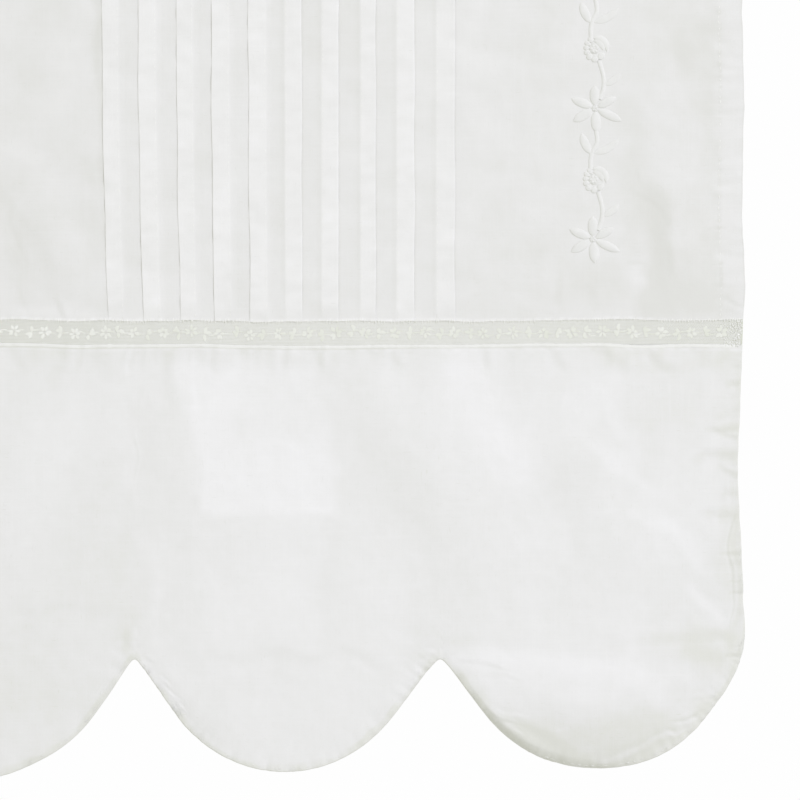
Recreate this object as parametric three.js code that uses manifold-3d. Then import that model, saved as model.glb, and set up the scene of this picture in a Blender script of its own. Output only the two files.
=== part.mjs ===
// A lace-trimmed cafe curtain of white cotton: a panel with a group of vertical tucks and two
// embroidered sprays, a lace insertion under it, and a scalloped flounce at the foot.
// Millimetres, +Z up. The front faces -Y. The origin is the middle of the top edge it hangs from.
import * as THREE from "three";
import { mergeVertices } from "three/addons/utils/BufferGeometryUtils.js";
import Module from "manifold-3d";

const wasm = await Module();
wasm.setup();

// Overall sizes
const WIDTH = 450;
const DROP = 600;
const CLOTH = 1.0;
const LAYER_GAP = 0.3;
const PIECE_GAP = 0.3;
const LAYER_PITCH = CLOTH + LAYER_GAP;
const HALF = WIDTH / 2;

// The tucked panel
const PANEL_FOOT = -377.5;
const PANEL_LEVELS = 10;
const PLAIN_STEP = 9;
const SIDE_HEM = 13;
const TOP_HEM = 25;
const TUCKS_EACH_WAY = 5;
const TUCK_WIDTH = 8.9;
const TUCK_PITCH = 18.2;
const TUCK_MIDDLE_GAP = 9.2;
const TUCK_CENTRE = -4.6;
const HALF_TURN_STEPS = 3;

// The lace insertion
const LACE_SHOWN = 12.5;
const LACE_OVERLAP = 3;
const LACE_COLUMNS = 30;
const LACE_ROWS = 2;

// The flounce and its scallops
const FLOUNCE_THICKNESS = 1.2;
const FLOUNCE_HEAD = PANEL_FOOT - LACE_SHOWN + LACE_OVERLAP;
const FLOUNCE_HEADING = LACE_OVERLAP + 1.5;
const FLOUNCE_EASE = 28;
const FLOUNCE_REST_Y = 0.6;
const FLOUNCE_ROWS = 14;
const SCALLOPS = 3;
const SCALLOP_PITCH = WIDTH / SCALLOPS;
const SCALLOP_COLUMNS = 20;
const SCALLOP_RADIUS = 66;
const FLANK_ANGLE = THREE.MathUtils.degToRad(54.5);
const CORNER_RADIUS = 38;

// The embroidered sprays
const SPRAY_LEFT_X = -157;
const SPRAY_RIGHT_X = 151.4;
const SPRAY_FOOT = -337.4;
const SPRAY_REPEAT = 64.5;
const SPRAY_DAISIES = 5;
const STITCH_HEIGHT = 0.9;
const LEAF_TAPER = 0.55;
const PAD_SIDES = 6;
const ROUND_SIDES = 8;
const STEM_STEPS = 5;

// Depths of the pieces behind the panel's middle plane, the pieces lying one behind the other at the seams
const LACE_Y = CLOTH / 2 + PIECE_GAP + CLOTH / 2;
const FLOUNCE_HEAD_Y = LACE_Y + CLOTH / 2 + PIECE_GAP + FLOUNCE_THICKNESS / 2;

// Soft folds that stand forward: where a fold's crest lies, how far it leans for each millimetre up, how
// far it reaches up and down, to its left and to its right, and how far forward it comes.
const MAIN_FOLDS = [
  { x: 190, z: -325, lean: -0.17, reach: 62, left: 14, right: 24, forward: 1.1 },
  { x: -119, z: -335, lean: -0.35, reach: 50, left: 16, right: 20, forward: 1.0 },
  { x: -190, z: -230, lean: 0.1, reach: 90, left: 20, right: 16, forward: 1.1 },
  { x: -45, z: -450, lean: -0.08, reach: 60, left: 34, right: 66, forward: 2.0 },
  { x: 73, z: -455, lean: -0.45, reach: 62, left: 46, right: 52, forward: 1.8 },
  { x: 150, z: -460, lean: -0.5, reach: 66, left: 28, right: 45, forward: 1.6 },
  { x: -140, z: -460, lean: 0.2, reach: 66, left: 50, right: 40, forward: 1.8 },
];

// How far a side edge stands out from its straight line, by height.
const EDGE_WANDER = [
  { z: -40, out: 0 },
  { z: -220, out: -0.5 },
  { z: -270, out: 0.5 },
  { z: -320, out: -0.4 },
  { z: -363, out: 1 },
  { z: -388, out: -0.3 },
  { z: -452, out: -2.5 },
  { z: -500, out: -0.4 },
  { z: -530, out: 0.8 },
];

// How far the foot of the flounce hangs to the right of its straight place and below it, by place across.
const FOOT_WANDER = [
  { x: -225, side: 0, drop: 1.5 },
  { x: -150, side: 0, drop: 3.2 },
  { x: -118, side: 0.4, drop: 0.5 },
  { x: -90, side: 1, drop: 0.2 },
  { x: -75, side: 0, drop: 0 },
  { x: -50, side: -0.8, drop: 0 },
  { x: 45, side: -1.2, drop: 0 },
  { x: 66, side: -0.4, drop: 0 },
  { x: 80, side: 1.4, drop: 0 },
  { x: 110, side: 2.2, drop: 0 },
  { x: 150, side: 2.6, drop: 0 },
  { x: 185, side: 3.8, drop: 0 },
  { x: 210, side: 3.8, drop: 0 },
  { x: 225, side: 0.8, drop: 0 },
];
const FOOT_START = -515;
const FOOT_REACH = 40;

// How far the lace seam rises above its straight line, by place across.
const SEAM_WANDER = [
  { x: -225, rise: 0.2 },
  { x: -136, rise: 0.8 },
  { x: -100, rise: -0.2 },
  { x: -48, rise: 0.3 },
  { x: 0, rise: -0.7 },
  { x: 70, rise: -0.2 },
  { x: 145, rise: 0.5 },
  { x: 225, rise: 0 },
];

// Where the scalloped hem rolls back: the scallop, the place along it from its middle, how far the roll
// spreads to each side, how high it starts above the edge, and how far back the edge goes.
const HEM_ROLLS = [
  { scallop: -1, at: -45, spread: 45, height: 18, back: 2.5 },
  { scallop: 0, at: -42, spread: 38, height: 18, back: 2.5 },
  { scallop: 0, at: 48, spread: 34, height: 14, back: 1.5 },
  { scallop: 1, at: -14, spread: 60, height: 32, back: 7 },
  { scallop: 1, at: 56, spread: 30, height: 16, back: 2 },
];

// The left tucks lean towards the middle at the foot of the panel, most at the outermost tuck.
const LEAN = { start: -220, atFoot: 3.2, still: 20, most: -91 };
const SEAM_REACH = 60;
const EDGE_REACH = 35;

// The stitched pieces of one repeat of a spray, from the middle of its daisy: x across, up along the stem.
const PETALS = [
  { turn: 90, reach: 12.6, width: 4.9 },
  { turn: 34, reach: 13.2, width: 3.9 },
  { turn: -22, reach: 15, width: 4.2 },
  { turn: -88, reach: 12, width: 4.6 },
  { turn: -152, reach: 12.6, width: 4.3 },
  { turn: 155, reach: 13.3, width: 4.2 },
];
const LEAVES = [
  { rootX: 3.6, rootUp: 11, tipX: 12.4, tipUp: 17.5, width: 4 },
  { rootX: -1.2, rootUp: 41, tipX: -6.4, tipUp: 52, width: 4.2 },
  { rootX: -1, rootUp: 41.5, tipX: 12, tipUp: 49.5, width: 4.2 },
];
const STEMS = [
  [{ x: 0.8, up: 1.5 }, { x: 4.2, up: 14 }, { x: 1.5, up: 25 }],
  [{ x: -1, up: 34 }, { x: -1.4, up: 43 }, { x: 1.6, up: 49 }, { x: 0.3, up: 60 }],
];
const STEM_WIDTH = 1.7;
const STEM_HEIGHT = STITCH_HEIGHT * 0.8;
const ROSE_UP = 29.5;
const ROSE_PROFILE = [
  { r: 0, h: 0 },
  { r: 6.7, h: 0 },
  { r: 6, h: 0.8 },
  { r: 3.2, h: STITCH_HEIGHT },
  { r: 1.8, h: 0.5 },
  { r: 0, h: STITCH_HEIGHT },
];
const EYE_PROFILE = [
  { r: 0, h: 0 },
  { r: 2.2, h: 0 },
  { r: 1.5, h: STITCH_HEIGHT * 1.1 },
  { r: 0, h: STITCH_HEIGHT * 1.2 },
];

// A bump that is 1 at 0 and falls smoothly to 0 at -1 and 1.
function bump(t) {
  return Math.abs(t) < 1 ? Math.cos((Math.PI / 2) * t) ** 2 : 0;
}

// A smooth rise from 0 to 1 as t goes from 0 to 1.
function ease(t) {
  return THREE.MathUtils.smoothstep(t, 0, 1);
}

// Reads a table with rows in order of one column, easing from row to row.
function readTable(rows, column, value, at) {
  const next = rows.findIndex((row) => (row[column] - at) * (rows[1][column] - rows[0][column]) > 0);
  if (next === 0) return rows[0][value];
  if (next < 0) return rows[rows.length - 1][value];
  const [a, b] = [rows[next - 1], rows[next]];
  return THREE.MathUtils.lerp(a[value], b[value], ease((at - a[column]) / (b[column] - a[column])));
}

function foldDepth(x, z) {
  return MAIN_FOLDS.reduce((sum, fold) => {
    const across = x - fold.x - fold.lean * (z - fold.z);
    const side = across < 0 ? fold.left : fold.right;
    return sum - fold.forward * bump(across / side) * bump((z - fold.z) / fold.reach);
  }, 0);
}

function tuckLean(x, z) {
  const fromStill = (LEAN.still - x) / (LEAN.still - LEAN.most);
  const fromEdge = (x + HALF) / (LEAN.most + HALF);
  const across = THREE.MathUtils.clamp(Math.min(fromStill, fromEdge), 0, 1);
  const down = THREE.MathUtils.clamp((LEAN.start - z) / (LEAN.start - PANEL_FOOT), 0, 1);
  const pastSeam = ease((z - PANEL_FOOT) / SEAM_REACH + 1);
  return LEAN.atFoot * across * down ** 2 * pastSeam;
}

function edgeWander(x, z) {
  const nearEdge = ease((Math.abs(x) - HALF + EDGE_REACH) / EDGE_REACH);
  return Math.sign(x) * nearEdge * readTable(EDGE_WANDER, "z", "out", z);
}

function seamRise(x, z) {
  return readTable(SEAM_WANDER, "x", "rise", x) * bump((z - PANEL_FOOT + LACE_SHOWN / 2) / SEAM_REACH);
}

function footWander(x, z, value) {
  return readTable(FOOT_WANDER, "x", value, x) * ease((FOOT_START - z) / FOOT_REACH);
}

// Moves a point of the flat curtain to its place as the cloth hangs.
function drape(point) {
  const { x, z } = point;
  point.x += tuckLean(x, z) + edgeWander(x, z) + footWander(x, z, "side");
  point.y += foldDepth(x, z);
  point.z += seamRise(x, z) - footWander(x, z, "drop");
  return point;
}

function drapeGeometry(geometry) {
  const places = geometry.getAttribute("position");
  const point = new THREE.Vector3();
  for (let i = 0; i < places.count; i++) {
    drape(point.fromBufferAttribute(places, i));
    places.setXYZ(i, point.x, point.y, point.z);
  }
  return geometry;
}

// A closed three.js geometry as a solid for joining.
function solidOf(geometry) {
  const bare = new THREE.BufferGeometry().setAttribute("position", geometry.getAttribute("position"));
  if (geometry.index) bare.setIndex(geometry.index);
  const merged = mergeVertices(bare, 1e-3);
  return new wasm.Manifold(
    new wasm.Mesh({
      numProp: 3,
      vertProperties: merged.getAttribute("position").array,
      triVerts: new Uint32Array(merged.index.array),
    }),
  );
}

function geometryOf(solid) {
  const mesh = solid.getMesh();
  const geometry = new THREE.BufferGeometry();
  geometry.setAttribute("position", new THREE.BufferAttribute(mesh.vertProperties, 3));
  geometry.setIndex(new THREE.BufferAttribute(mesh.triVerts, 1));
  return geometry;
}

function join(geometries) {
  return geometries.map(solidOf).reduce((whole, solid) => whole.add(solid));
}

// Adds a half circle that carries the cloth's middle line from one layer to the next.
function addHalfTurn(line, x, fromY, toY, side) {
  const middle = (fromY + toY) / 2;
  const radius = Math.abs(toY - fromY) / 2;
  for (let step = 0; step <= HALF_TURN_STEPS; step++) {
    const angle = (Math.PI * step) / HALF_TURN_STEPS;
    const y = middle + (fromY - middle) * Math.cos(angle);
    line.push(new THREE.Vector2(x + side * radius * Math.sin(angle), y));
  }
}

// The middle line of one tuck that is folded to the left, with its stitching line at x = 0: the cloth
// turns back at the stitching, forward again at the fold, and comes down over its own turn.
function tuckLine() {
  const radius = LAYER_PITCH / 2;
  const line = [];
  addHalfTurn(line, -radius, 0, -LAYER_PITCH, 1);
  addHalfTurn(line, -TUCK_WIDTH + CLOTH / 2 + radius, -LAYER_PITCH, -2 * LAYER_PITCH, -1);
  const comingDown = [
    { across: 0, lift: 2.0 },
    { across: 1.5, lift: 1.5 },
    { across: 2.0, lift: 0.6 },
    { across: 3.0, lift: 0.06 },
    { across: 4.4, lift: 0 },
  ];
  for (const { across, lift } of comingDown) {
    line.push(new THREE.Vector2(across - radius / 2, -lift * LAYER_PITCH));
  }
  return line;
}

// A tuck at its stitching line, folded to the left (way -1) or to the right (way 1).
function placedTuck(stitchX, way) {
  const line = tuckLine().map((p) => new THREE.Vector2(stitchX - way * p.x, p.y));
  return way < 0 ? line : line.reverse();
}

// Points along a plain stretch of cloth, both ends left out.
function plainStretch(fromX, toX) {
  const count = Math.ceil((toX - fromX) / PLAIN_STEP);
  return Array.from({ length: count - 1 }, (_, i) => {
    return new THREE.Vector2(THREE.MathUtils.lerp(fromX, toX, (i + 1) / count), 0);
  });
}

// The middle line of the panel's cloth across its whole width, from the raw edge inside one side hem,
// round the fold, over the tucks and into the other hem.
function panelLine() {
  const turn = LAYER_PITCH / 2;
  const foldX = HALF - CLOTH / 2 - turn;
  const line = [new THREE.Vector2(-HALF + SIDE_HEM, LAYER_PITCH)];
  addHalfTurn(line, -foldX, LAYER_PITCH, 0, -1);
  const stitches = [];
  for (let k = TUCKS_EACH_WAY - 1; k >= 0; k--) {
    stitches.push({ x: TUCK_CENTRE - TUCK_MIDDLE_GAP / 2 - k * TUCK_PITCH, way: -1 });
  }
  for (let k = 0; k < TUCKS_EACH_WAY; k++) {
    stitches.push({ x: TUCK_CENTRE + TUCK_MIDDLE_GAP / 2 + k * TUCK_PITCH, way: 1 });
  }
  const tucks = stitches.flatMap(({ x, way }) => placedTuck(x, way));
  line.push(...plainStretch(-foldX, tucks[0].x), ...tucks);
  line.push(...plainStretch(tucks[tucks.length - 1].x, foldX));
  addHalfTurn(line, foldX, 0, LAYER_PITCH, 1);
  line.push(new THREE.Vector2(HALF - SIDE_HEM, LAYER_PITCH));
  return line;
}

// The outline of a cloth of even thickness along its middle line.
function clothOutline(line, thickness) {
  const sides = [[], []];
  line.forEach((point, i) => {
    const before = point.clone().sub(line[Math.max(i - 1, 0)]).normalize();
    const after = line[Math.min(i + 1, line.length - 1)].clone().sub(point).normalize();
    const along = before.clone().add(after).normalize();
    const atEnd = i === 0 || i === line.length - 1;
    const mitre = atEnd ? 1 : along.dot(before);
    const off = new THREE.Vector2(-along.y, along.x).multiplyScalar(thickness / 2 / mitre);
    sides[0].push(point.clone().add(off));
    sides[1].push(point.clone().sub(off));
  });
  return [...sides[0], ...sides[1].reverse()];
}

// The hem turned to the back along the top edge, behind the side hems.
function topHem() {
  const back = LAYER_PITCH + CLOTH / 2 + LAYER_GAP;
  const section = new THREE.Shape([
    new THREE.Vector2(-CLOTH / 2, 0),
    new THREE.Vector2(back + CLOTH, 0),
    new THREE.Vector2(back + CLOTH, -TOP_HEM),
    new THREE.Vector2(back, -TOP_HEM),
    new THREE.Vector2(back, -CLOTH),
    new THREE.Vector2(-CLOTH / 2, -CLOTH),
  ]);
  const hem = new THREE.ExtrudeGeometry(section, { depth: WIDTH - CLOTH, bevelEnabled: false });
  // The section's own x is the depth and its own y is the height.
  const turned = new THREE.Matrix4().makeBasis(
    new THREE.Vector3(0, 1, 0),
    new THREE.Vector3(0, 0, 1),
    new THREE.Vector3(1, 0, 0),
  );
  return hem.applyMatrix4(turned).translate(-HALF + CLOTH / 2, 0, 0);
}

// The room at the foot of the side hems, whose turned layer is trimmed away where the lace lies.
function laceRoom() {
  const above = LACE_OVERLAP + 1.5;
  const room = new THREE.BoxGeometry(WIDTH + 2 * SIDE_HEM, SIDE_HEM, 2 * above);
  return room.translate(0, CLOTH / 2 + LAYER_GAP / 2 + SIDE_HEM / 2, PANEL_FOOT);
}

function tuckedPanel() {
  const section = new THREE.Shape(clothOutline(panelLine(), CLOTH));
  const cloth = new THREE.ExtrudeGeometry(section, {
    depth: -PANEL_FOOT,
    steps: PANEL_LEVELS,
    bevelEnabled: false,
  });
  cloth.translate(0, 0, PANEL_FOOT);
  return geometryOf(join([drapeGeometry(cloth), topHem()]).subtract(solidOf(laceRoom())));
}

// A closed sheet over a grid of places on its middle surface, thick from front to back.
function sheetGeometry(columns, rows, placeAt, thickness) {
  const points = [];
  for (const side of [-1, 1]) {
    for (let i = 0; i <= columns; i++) {
      for (let j = 0; j <= rows; j++) {
        const place = placeAt(i, j / rows);
        place.y += (side * thickness) / 2;
        points.push(place);
      }
    }
  }
  const front = (i, j) => i * (rows + 1) + j;
  const back = (i, j) => points.length / 2 + front(i, j);
  const faces = [];
  const quad = (a, b, c, d) => faces.push(a, b, c, a, c, d);
  for (let i = 0; i < columns; i++) {
    for (let j = 0; j < rows; j++) {
      quad(front(i, j), front(i, j + 1), front(i + 1, j + 1), front(i + 1, j));
      quad(back(i, j), back(i + 1, j), back(i + 1, j + 1), back(i, j + 1));
    }
    quad(front(i, 0), front(i + 1, 0), back(i + 1, 0), back(i, 0));
    quad(front(i, rows), back(i, rows), back(i + 1, rows), front(i + 1, rows));
  }
  for (let j = 0; j < rows; j++) {
    quad(front(0, j), back(0, j), back(0, j + 1), front(0, j + 1));
    quad(front(columns, j), front(columns, j + 1), back(columns, j + 1), back(columns, j));
  }
  return new THREE.BufferGeometry().setFromPoints(points).setIndex(faces);
}

function laceInsertion() {
  const head = PANEL_FOOT + LACE_OVERLAP;
  const foot = PANEL_FOOT - LACE_SHOWN - PIECE_GAP;
  const placeAt = (column, down) => {
    const x = THREE.MathUtils.lerp(-HALF, HALF, column / LACE_COLUMNS);
    return drape(new THREE.Vector3(x, LACE_Y, THREE.MathUtils.lerp(head, foot, down)));
  };
  return sheetGeometry(LACE_COLUMNS, LACE_ROWS, placeAt, CLOTH);
}

// The height of the scalloped edge above the lowest point, at a place from a scallop's middle: a round
// foot, straight flanks, and a rounded corner on the side where the curtain ends.
function scallopHeight(fromMiddle, outerSide) {
  const across = Math.abs(fromMiddle);
  const half = SCALLOP_PITCH / 2;
  const footHalf = SCALLOP_RADIUS * Math.sin(FLANK_ANGLE);
  const flankStart = SCALLOP_RADIUS * (1 - Math.cos(FLANK_ANGLE));
  const flank = (at) => flankStart + (at - footHalf) * Math.tan(FLANK_ANGLE);
  if (across < footHalf) return SCALLOP_RADIUS - Math.sqrt(SCALLOP_RADIUS ** 2 - across ** 2);
  if (fromMiddle * outerSide <= 0) return flank(across);
  const cornerReach = CORNER_RADIUS * Math.tan((Math.PI / 2 - FLANK_ANGLE) / 2);
  if (across < half - cornerReach * Math.cos(FLANK_ANGLE)) return flank(across);
  const inCorner = Math.min(across - (half - CORNER_RADIUS), CORNER_RADIUS);
  return flank(half) + cornerReach - Math.sqrt(CORNER_RADIUS ** 2 - inCorner ** 2);
}

function hemRoll(scallop, fromMiddle, height) {
  return HEM_ROLLS.filter((roll) => roll.scallop === scallop).reduce((sum, roll) => {
    return sum + roll.back * bump((fromMiddle - roll.at) / roll.spread) * (1 - ease(height / roll.height));
  }, 0);
}

function scallopedFlounce() {
  const columns = SCALLOPS * SCALLOP_COLUMNS;
  const placeAt = (column, down) => {
    const index = Math.min(Math.floor(column / SCALLOP_COLUMNS), SCALLOPS - 1);
    const scallop = index - (SCALLOPS - 1) / 2;
    // Columns crowd towards a scallop's ends, where its edge is steepest.
    const along = (column - index * SCALLOP_COLUMNS) / SCALLOP_COLUMNS;
    const fromMiddle = (-Math.cos(Math.PI * along) * SCALLOP_PITCH) / 2;
    const edge = -DROP + scallopHeight(fromMiddle, scallop);
    // The first row is the heading that lies flat behind the lace.
    const heading = FLOUNCE_HEAD - FLOUNCE_HEADING;
    const below = (down * FLOUNCE_ROWS - 1) / (FLOUNCE_ROWS - 1);
    const z = down === 0 ? FLOUNCE_HEAD : THREE.MathUtils.lerp(heading, edge, below);
    const settle = ease((heading - z) / FLOUNCE_EASE);
    const y = THREE.MathUtils.lerp(FLOUNCE_HEAD_Y, FLOUNCE_REST_Y, settle);
    const flat = new THREE.Vector3(scallop * SCALLOP_PITCH + fromMiddle, y, z);
    flat.y += hemRoll(scallop, fromMiddle, z - edge);
    return drape(flat);
  };
  return sheetGeometry(columns, FLOUNCE_ROWS, placeAt, FLOUNCE_THICKNESS);
}

// A low padded leaf or petal from its root to its tip, flat underneath, narrow at both ends.
function stitchedLeaf(root, tip, width) {
  const profile = [
    new THREE.Vector2(0, 0),
    new THREE.Vector2(1, 0),
    new THREE.Vector2(0.55, 0.85),
    new THREE.Vector2(0, 1),
  ];
  const leaf = new THREE.LatheGeometry(profile, PAD_SIDES, Math.PI / 2);
  leaf.rotateX(Math.PI / 2);
  const places = leaf.getAttribute("position");
  for (let i = 0; i < places.count; i++) {
    const along = places.getX(i);
    places.setY(i, places.getY(i) * (1 - LEAF_TAPER * along ** 2));
  }
  const span = tip.clone().sub(root);
  leaf.scale(span.length() / 2, width / 2, STITCH_HEIGHT);
  leaf.rotateZ(span.angle());
  return leaf.translate((root.x + tip.x) / 2, (root.y + tip.y) / 2, 0);
}

// A round padded form turned from a profile of radius and height.
function stitchedRound(profile, centre) {
  const round = new THREE.LatheGeometry(profile.map(({ r, h }) => new THREE.Vector2(r, h)), ROUND_SIDES);
  return round.rotateX(Math.PI / 2).translate(centre.x, centre.y, 0);
}

// A raised stem through a few places.
function stitchedStem(places) {
  const path = new THREE.CatmullRomCurve3(places.map((p) => new THREE.Vector3(p.x, p.y, STEM_HEIGHT / 2)));
  const [halfHeight, halfWidth] = [STEM_HEIGHT / 2, STEM_WIDTH / 2];
  const section = new THREE.Shape([
    new THREE.Vector2(-halfHeight, -halfWidth),
    new THREE.Vector2(halfHeight, -halfWidth),
    new THREE.Vector2(halfHeight, halfWidth),
    new THREE.Vector2(-halfHeight, halfWidth),
  ]);
  return new THREE.ExtrudeGeometry(section, { steps: STEM_STEPS, extrudePath: path });
}

// One spray, growing up from its lowest daisy: daisies and round roses in turn, with leaves on the stem
// between. The way is 1 for the right spray and -1 for its mirror image on the left.
function embroideredSpray(way) {
  const pieces = [];
  for (let k = 0; k < SPRAY_DAISIES; k++) {
    const at = (x, up) => new THREE.Vector2(way * x, k * SPRAY_REPEAT + up);
    for (const { turn, reach, width } of PETALS) {
      const angle = THREE.MathUtils.degToRad(turn);
      const tip = at(reach * Math.cos(angle), reach * Math.sin(angle));
      pieces.push(stitchedLeaf(at(0, 0), tip, width));
    }
    pieces.push(stitchedRound(EYE_PROFILE, at(0, 0)));
    if (k === SPRAY_DAISIES - 1) break;
    pieces.push(stitchedRound(ROSE_PROFILE, at(0, ROSE_UP)));
    for (const places of STEMS) pieces.push(stitchedStem(places.map((p) => at(p.x, p.up))));
    for (const leaf of LEAVES) {
      pieces.push(stitchedLeaf(at(leaf.rootX, leaf.rootUp), at(leaf.tipX, leaf.tipUp), leaf.width));
    }
  }
  const spray = geometryOf(join(pieces));
  // The spray's own y is the height and its own z stands out towards the front.
  spray.rotateX(Math.PI / 2);
  spray.translate(way < 0 ? SPRAY_LEFT_X : SPRAY_RIGHT_X, -(CLOTH / 2 + PIECE_GAP), SPRAY_FOOT);
  return drapeGeometry(spray);
}

const cotton = new THREE.MeshStandardMaterial({ color: 0xececeb, roughness: 0.92, metalness: 0 });
const lace = new THREE.MeshStandardMaterial({ color: 0xe0e1da, roughness: 0.9, metalness: 0 });
const thread = new THREE.MeshStandardMaterial({ color: 0xf1f1ef, roughness: 0.7, metalness: 0 });

const curtain = new THREE.Group();
const pieces = [
  { name: "tucked_panel", geometry: tuckedPanel(), material: cotton },
  { name: "lace_insertion", geometry: laceInsertion(), material: lace },
  { name: "scalloped_flounce", geometry: scallopedFlounce(), material: cotton },
  { name: "embroidered_spray_left", geometry: embroideredSpray(-1), material: thread },
  { name: "embroidered_spray_right", geometry: embroideredSpray(1), material: thread },
];
for (const { name, geometry, material } of pieces) {
  const piece = new THREE.Mesh(geometry, material);
  piece.name = name;
  curtain.add(piece);
}

export default curtain;
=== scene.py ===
# %% [markdown]
# # A lace-trimmed cafe curtain
# The curtain is sewn from white cotton: a panel with ten stitched tucks and two embroidered sprays, a
# narrow net lace under it, and a doubled flounce with a scalloped foot. The solids of the frame already
# hold its sizes and its main folds. Here each solid gets the thin cloth, thread or net that it stands for.
# Lengths on the curtain are in millimetres below, and are turned into metres when a mesh is made. The floor,
# the lamps and the camera are placed in metres.

import math

import bpy
import numpy as np
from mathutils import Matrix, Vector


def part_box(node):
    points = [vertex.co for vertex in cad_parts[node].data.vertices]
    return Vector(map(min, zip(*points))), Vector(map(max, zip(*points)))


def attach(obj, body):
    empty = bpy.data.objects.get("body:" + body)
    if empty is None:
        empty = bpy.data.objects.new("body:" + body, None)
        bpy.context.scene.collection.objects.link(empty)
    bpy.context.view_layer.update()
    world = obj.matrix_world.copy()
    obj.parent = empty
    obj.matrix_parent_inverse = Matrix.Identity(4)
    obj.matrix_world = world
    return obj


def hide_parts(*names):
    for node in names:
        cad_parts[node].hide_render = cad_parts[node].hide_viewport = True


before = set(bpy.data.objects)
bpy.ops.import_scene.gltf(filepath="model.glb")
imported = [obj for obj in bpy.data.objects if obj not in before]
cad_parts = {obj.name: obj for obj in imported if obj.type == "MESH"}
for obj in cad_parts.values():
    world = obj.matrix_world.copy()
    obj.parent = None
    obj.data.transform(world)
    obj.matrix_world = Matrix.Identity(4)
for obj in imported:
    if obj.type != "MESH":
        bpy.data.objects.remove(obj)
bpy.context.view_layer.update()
MM = 0.001
print("nodes:", sorted(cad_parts))

# %% [markdown]
# ## Sizes that the pieces share
# Width, drop and seam heights are those of the solids, so the cloth stays where they are. The rest are the
# maker's own sizes: how wide the hems are, and for each tuck where it is stitched and how wide it came out.

# %% Shared sizes
def box_mm(node):
    low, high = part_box(node)
    return np.array(low) / MM, np.array(high) / MM


HALF_WIDTH = 225.0
DROP = 600.0
PANEL_FOOT = -377.5
LACE_FOOT = -390.0
FLOUNCE_HEAD = -389.4
SIDE_HEM = 12.4
TOP_HEM = 25.0
# The panel is cut with twice this width for each tuck.
TUCK_WIDTH = 8.9
# Where each tuck is stitched, the way it is pressed and how wide it came out.
TUCKS = [
    (-83.1, -1, 7.9),
    (-64.6, -1, 8.6),
    (-46.4, -1, 7.9),
    (-28.5, -1, 8.6),
    (-10.3, -1, 8.6),
    (-0.9, 1, 8.3),
    (17.3, 1, 8.3),
    (36.5, 1, 7.4),
    (54.3, 1, 8.7),
    (73.8, 1, 9.1),
]
for node in ("tucked_panel", "lace_insertion", "scalloped_flounce"):
    print(node, [np.round(corner, 1).tolist() for corner in box_mm(node)])

# %% [markdown]
# ## How the cloth hangs
# A hung sheet is never flat. Cloth simulation could find folds, but not these folds, so they are listed: a
# few wide ones, the same as in the solids, and then the small creases that the light picks out.
# Every piece goes through the same `drape`, so stitches, lace and cloth keep their places on each other.

# %% Smooth steps
def bump(t):
    """1 at 0, falling smoothly to 0 at -1 and 1."""
    return np.where(np.abs(t) < 1, np.cos(np.pi / 2 * np.clip(t, -1, 1)) ** 2, 0.0)


def ease(t):
    """A smooth rise from 0 to 1 as t goes from 0 to 1."""
    t = np.clip(t, 0, 1)
    return t * t * (3 - 2 * t)


def eased(at, places, values):
    """A value for each place, easing from one to the next."""
    places, values = np.asarray(places, float), np.asarray(values, float)
    k = np.clip(np.searchsorted(places, at) - 1, 0, len(places) - 2)
    t = ease((at - places[k]) / (places[k + 1] - places[k]))
    return values[k] + (values[k + 1] - values[k]) * t


# %% Wide folds
# Crest x and z, lean for each millimetre up, reach up and down, to the left, to the right, how far forward.
WIDE_FOLDS = [
    (190, -325, -0.17, 62, 14, 24, 1.1),
    (-119, -335, -0.35, 50, 16, 20, 1.0),
    (-190, -230, 0.1, 90, 20, 16, 1.1),
    (-45, -450, -0.08, 60, 34, 66, 2.0),
    (73, -455, -0.45, 62, 46, 52, 1.8),
    (150, -460, -0.5, 66, 28, 45, 1.6),
    (-140, -460, 0.2, 66, 50, 40, 1.8),
]


def wide_folds(x, z):
    depth = np.zeros_like(x)
    for crest_x, crest_z, lean, reach, left, right, forward in WIDE_FOLDS:
        across = x - crest_x - lean * (z - crest_z)
        side = np.where(across < 0, left, right)
        depth -= forward * bump(across / side) * bump((z - crest_z) / reach)
    return depth


# %% Crumple
SIZE_SPREAD = (0.7, 1.6)
WRINKLE_MEAN = 0.4
STRAY, STRAY_SIZE = 2.2, 26


def crumple(x, z, size, seed, waves=28):
    """A smooth uneven field of about -1 to 1, with dents of the given size."""
    draw = np.random.default_rng(seed)
    turn = draw.uniform(0, 2 * np.pi, waves)
    per_mm = 2 * np.pi / (size * draw.uniform(*SIZE_SPREAD, waves))
    phase = draw.uniform(0, 2 * np.pi, waves)
    total = np.zeros_like(x)
    for k in range(waves):
        total += np.cos(per_mm[k] * (x * math.cos(turn[k]) + z * math.sin(turn[k])) + phase[k])
    return total * math.sqrt(2 / waves) / 2


def uneven(along, size, seed, waves=12):
    """Crumple along a single line."""
    return crumple(along, np.zeros_like(along), size, seed, waves)


def wrinkle(x, z, size, seed):
    """Like crumple, but with sharp little valleys, as cloth has that was folded and pressed."""
    return np.abs(crumple(x, z, size, seed)) - WRINKLE_MEAN


def strayed(x, z):
    """Places moved a little this way and that, so that no crease runs quite straight."""
    return x + STRAY * crumple(x, z, STRAY_SIZE, 43), z + STRAY * crumple(x, z, STRAY_SIZE, 47)


# %% [markdown]
# ## Creases
# A crease is a line through a few places, with a soft trough or ridge along it. The light shows its slope
# and not its depth, so the slope is what is given. Each crease also carries a change of whiteness along it:
# painted shade where it is less than 0, painted light where it is more. They are placed one by one,
# because a cloth simulation would give other creases than this curtain has.

# %% Creases of the panel
LEFT_TROUGH = [(-146, -306), (-142, -316), (-137, -330), (-133, -346), (-131.5, -358), (-133, -366)]
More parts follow.
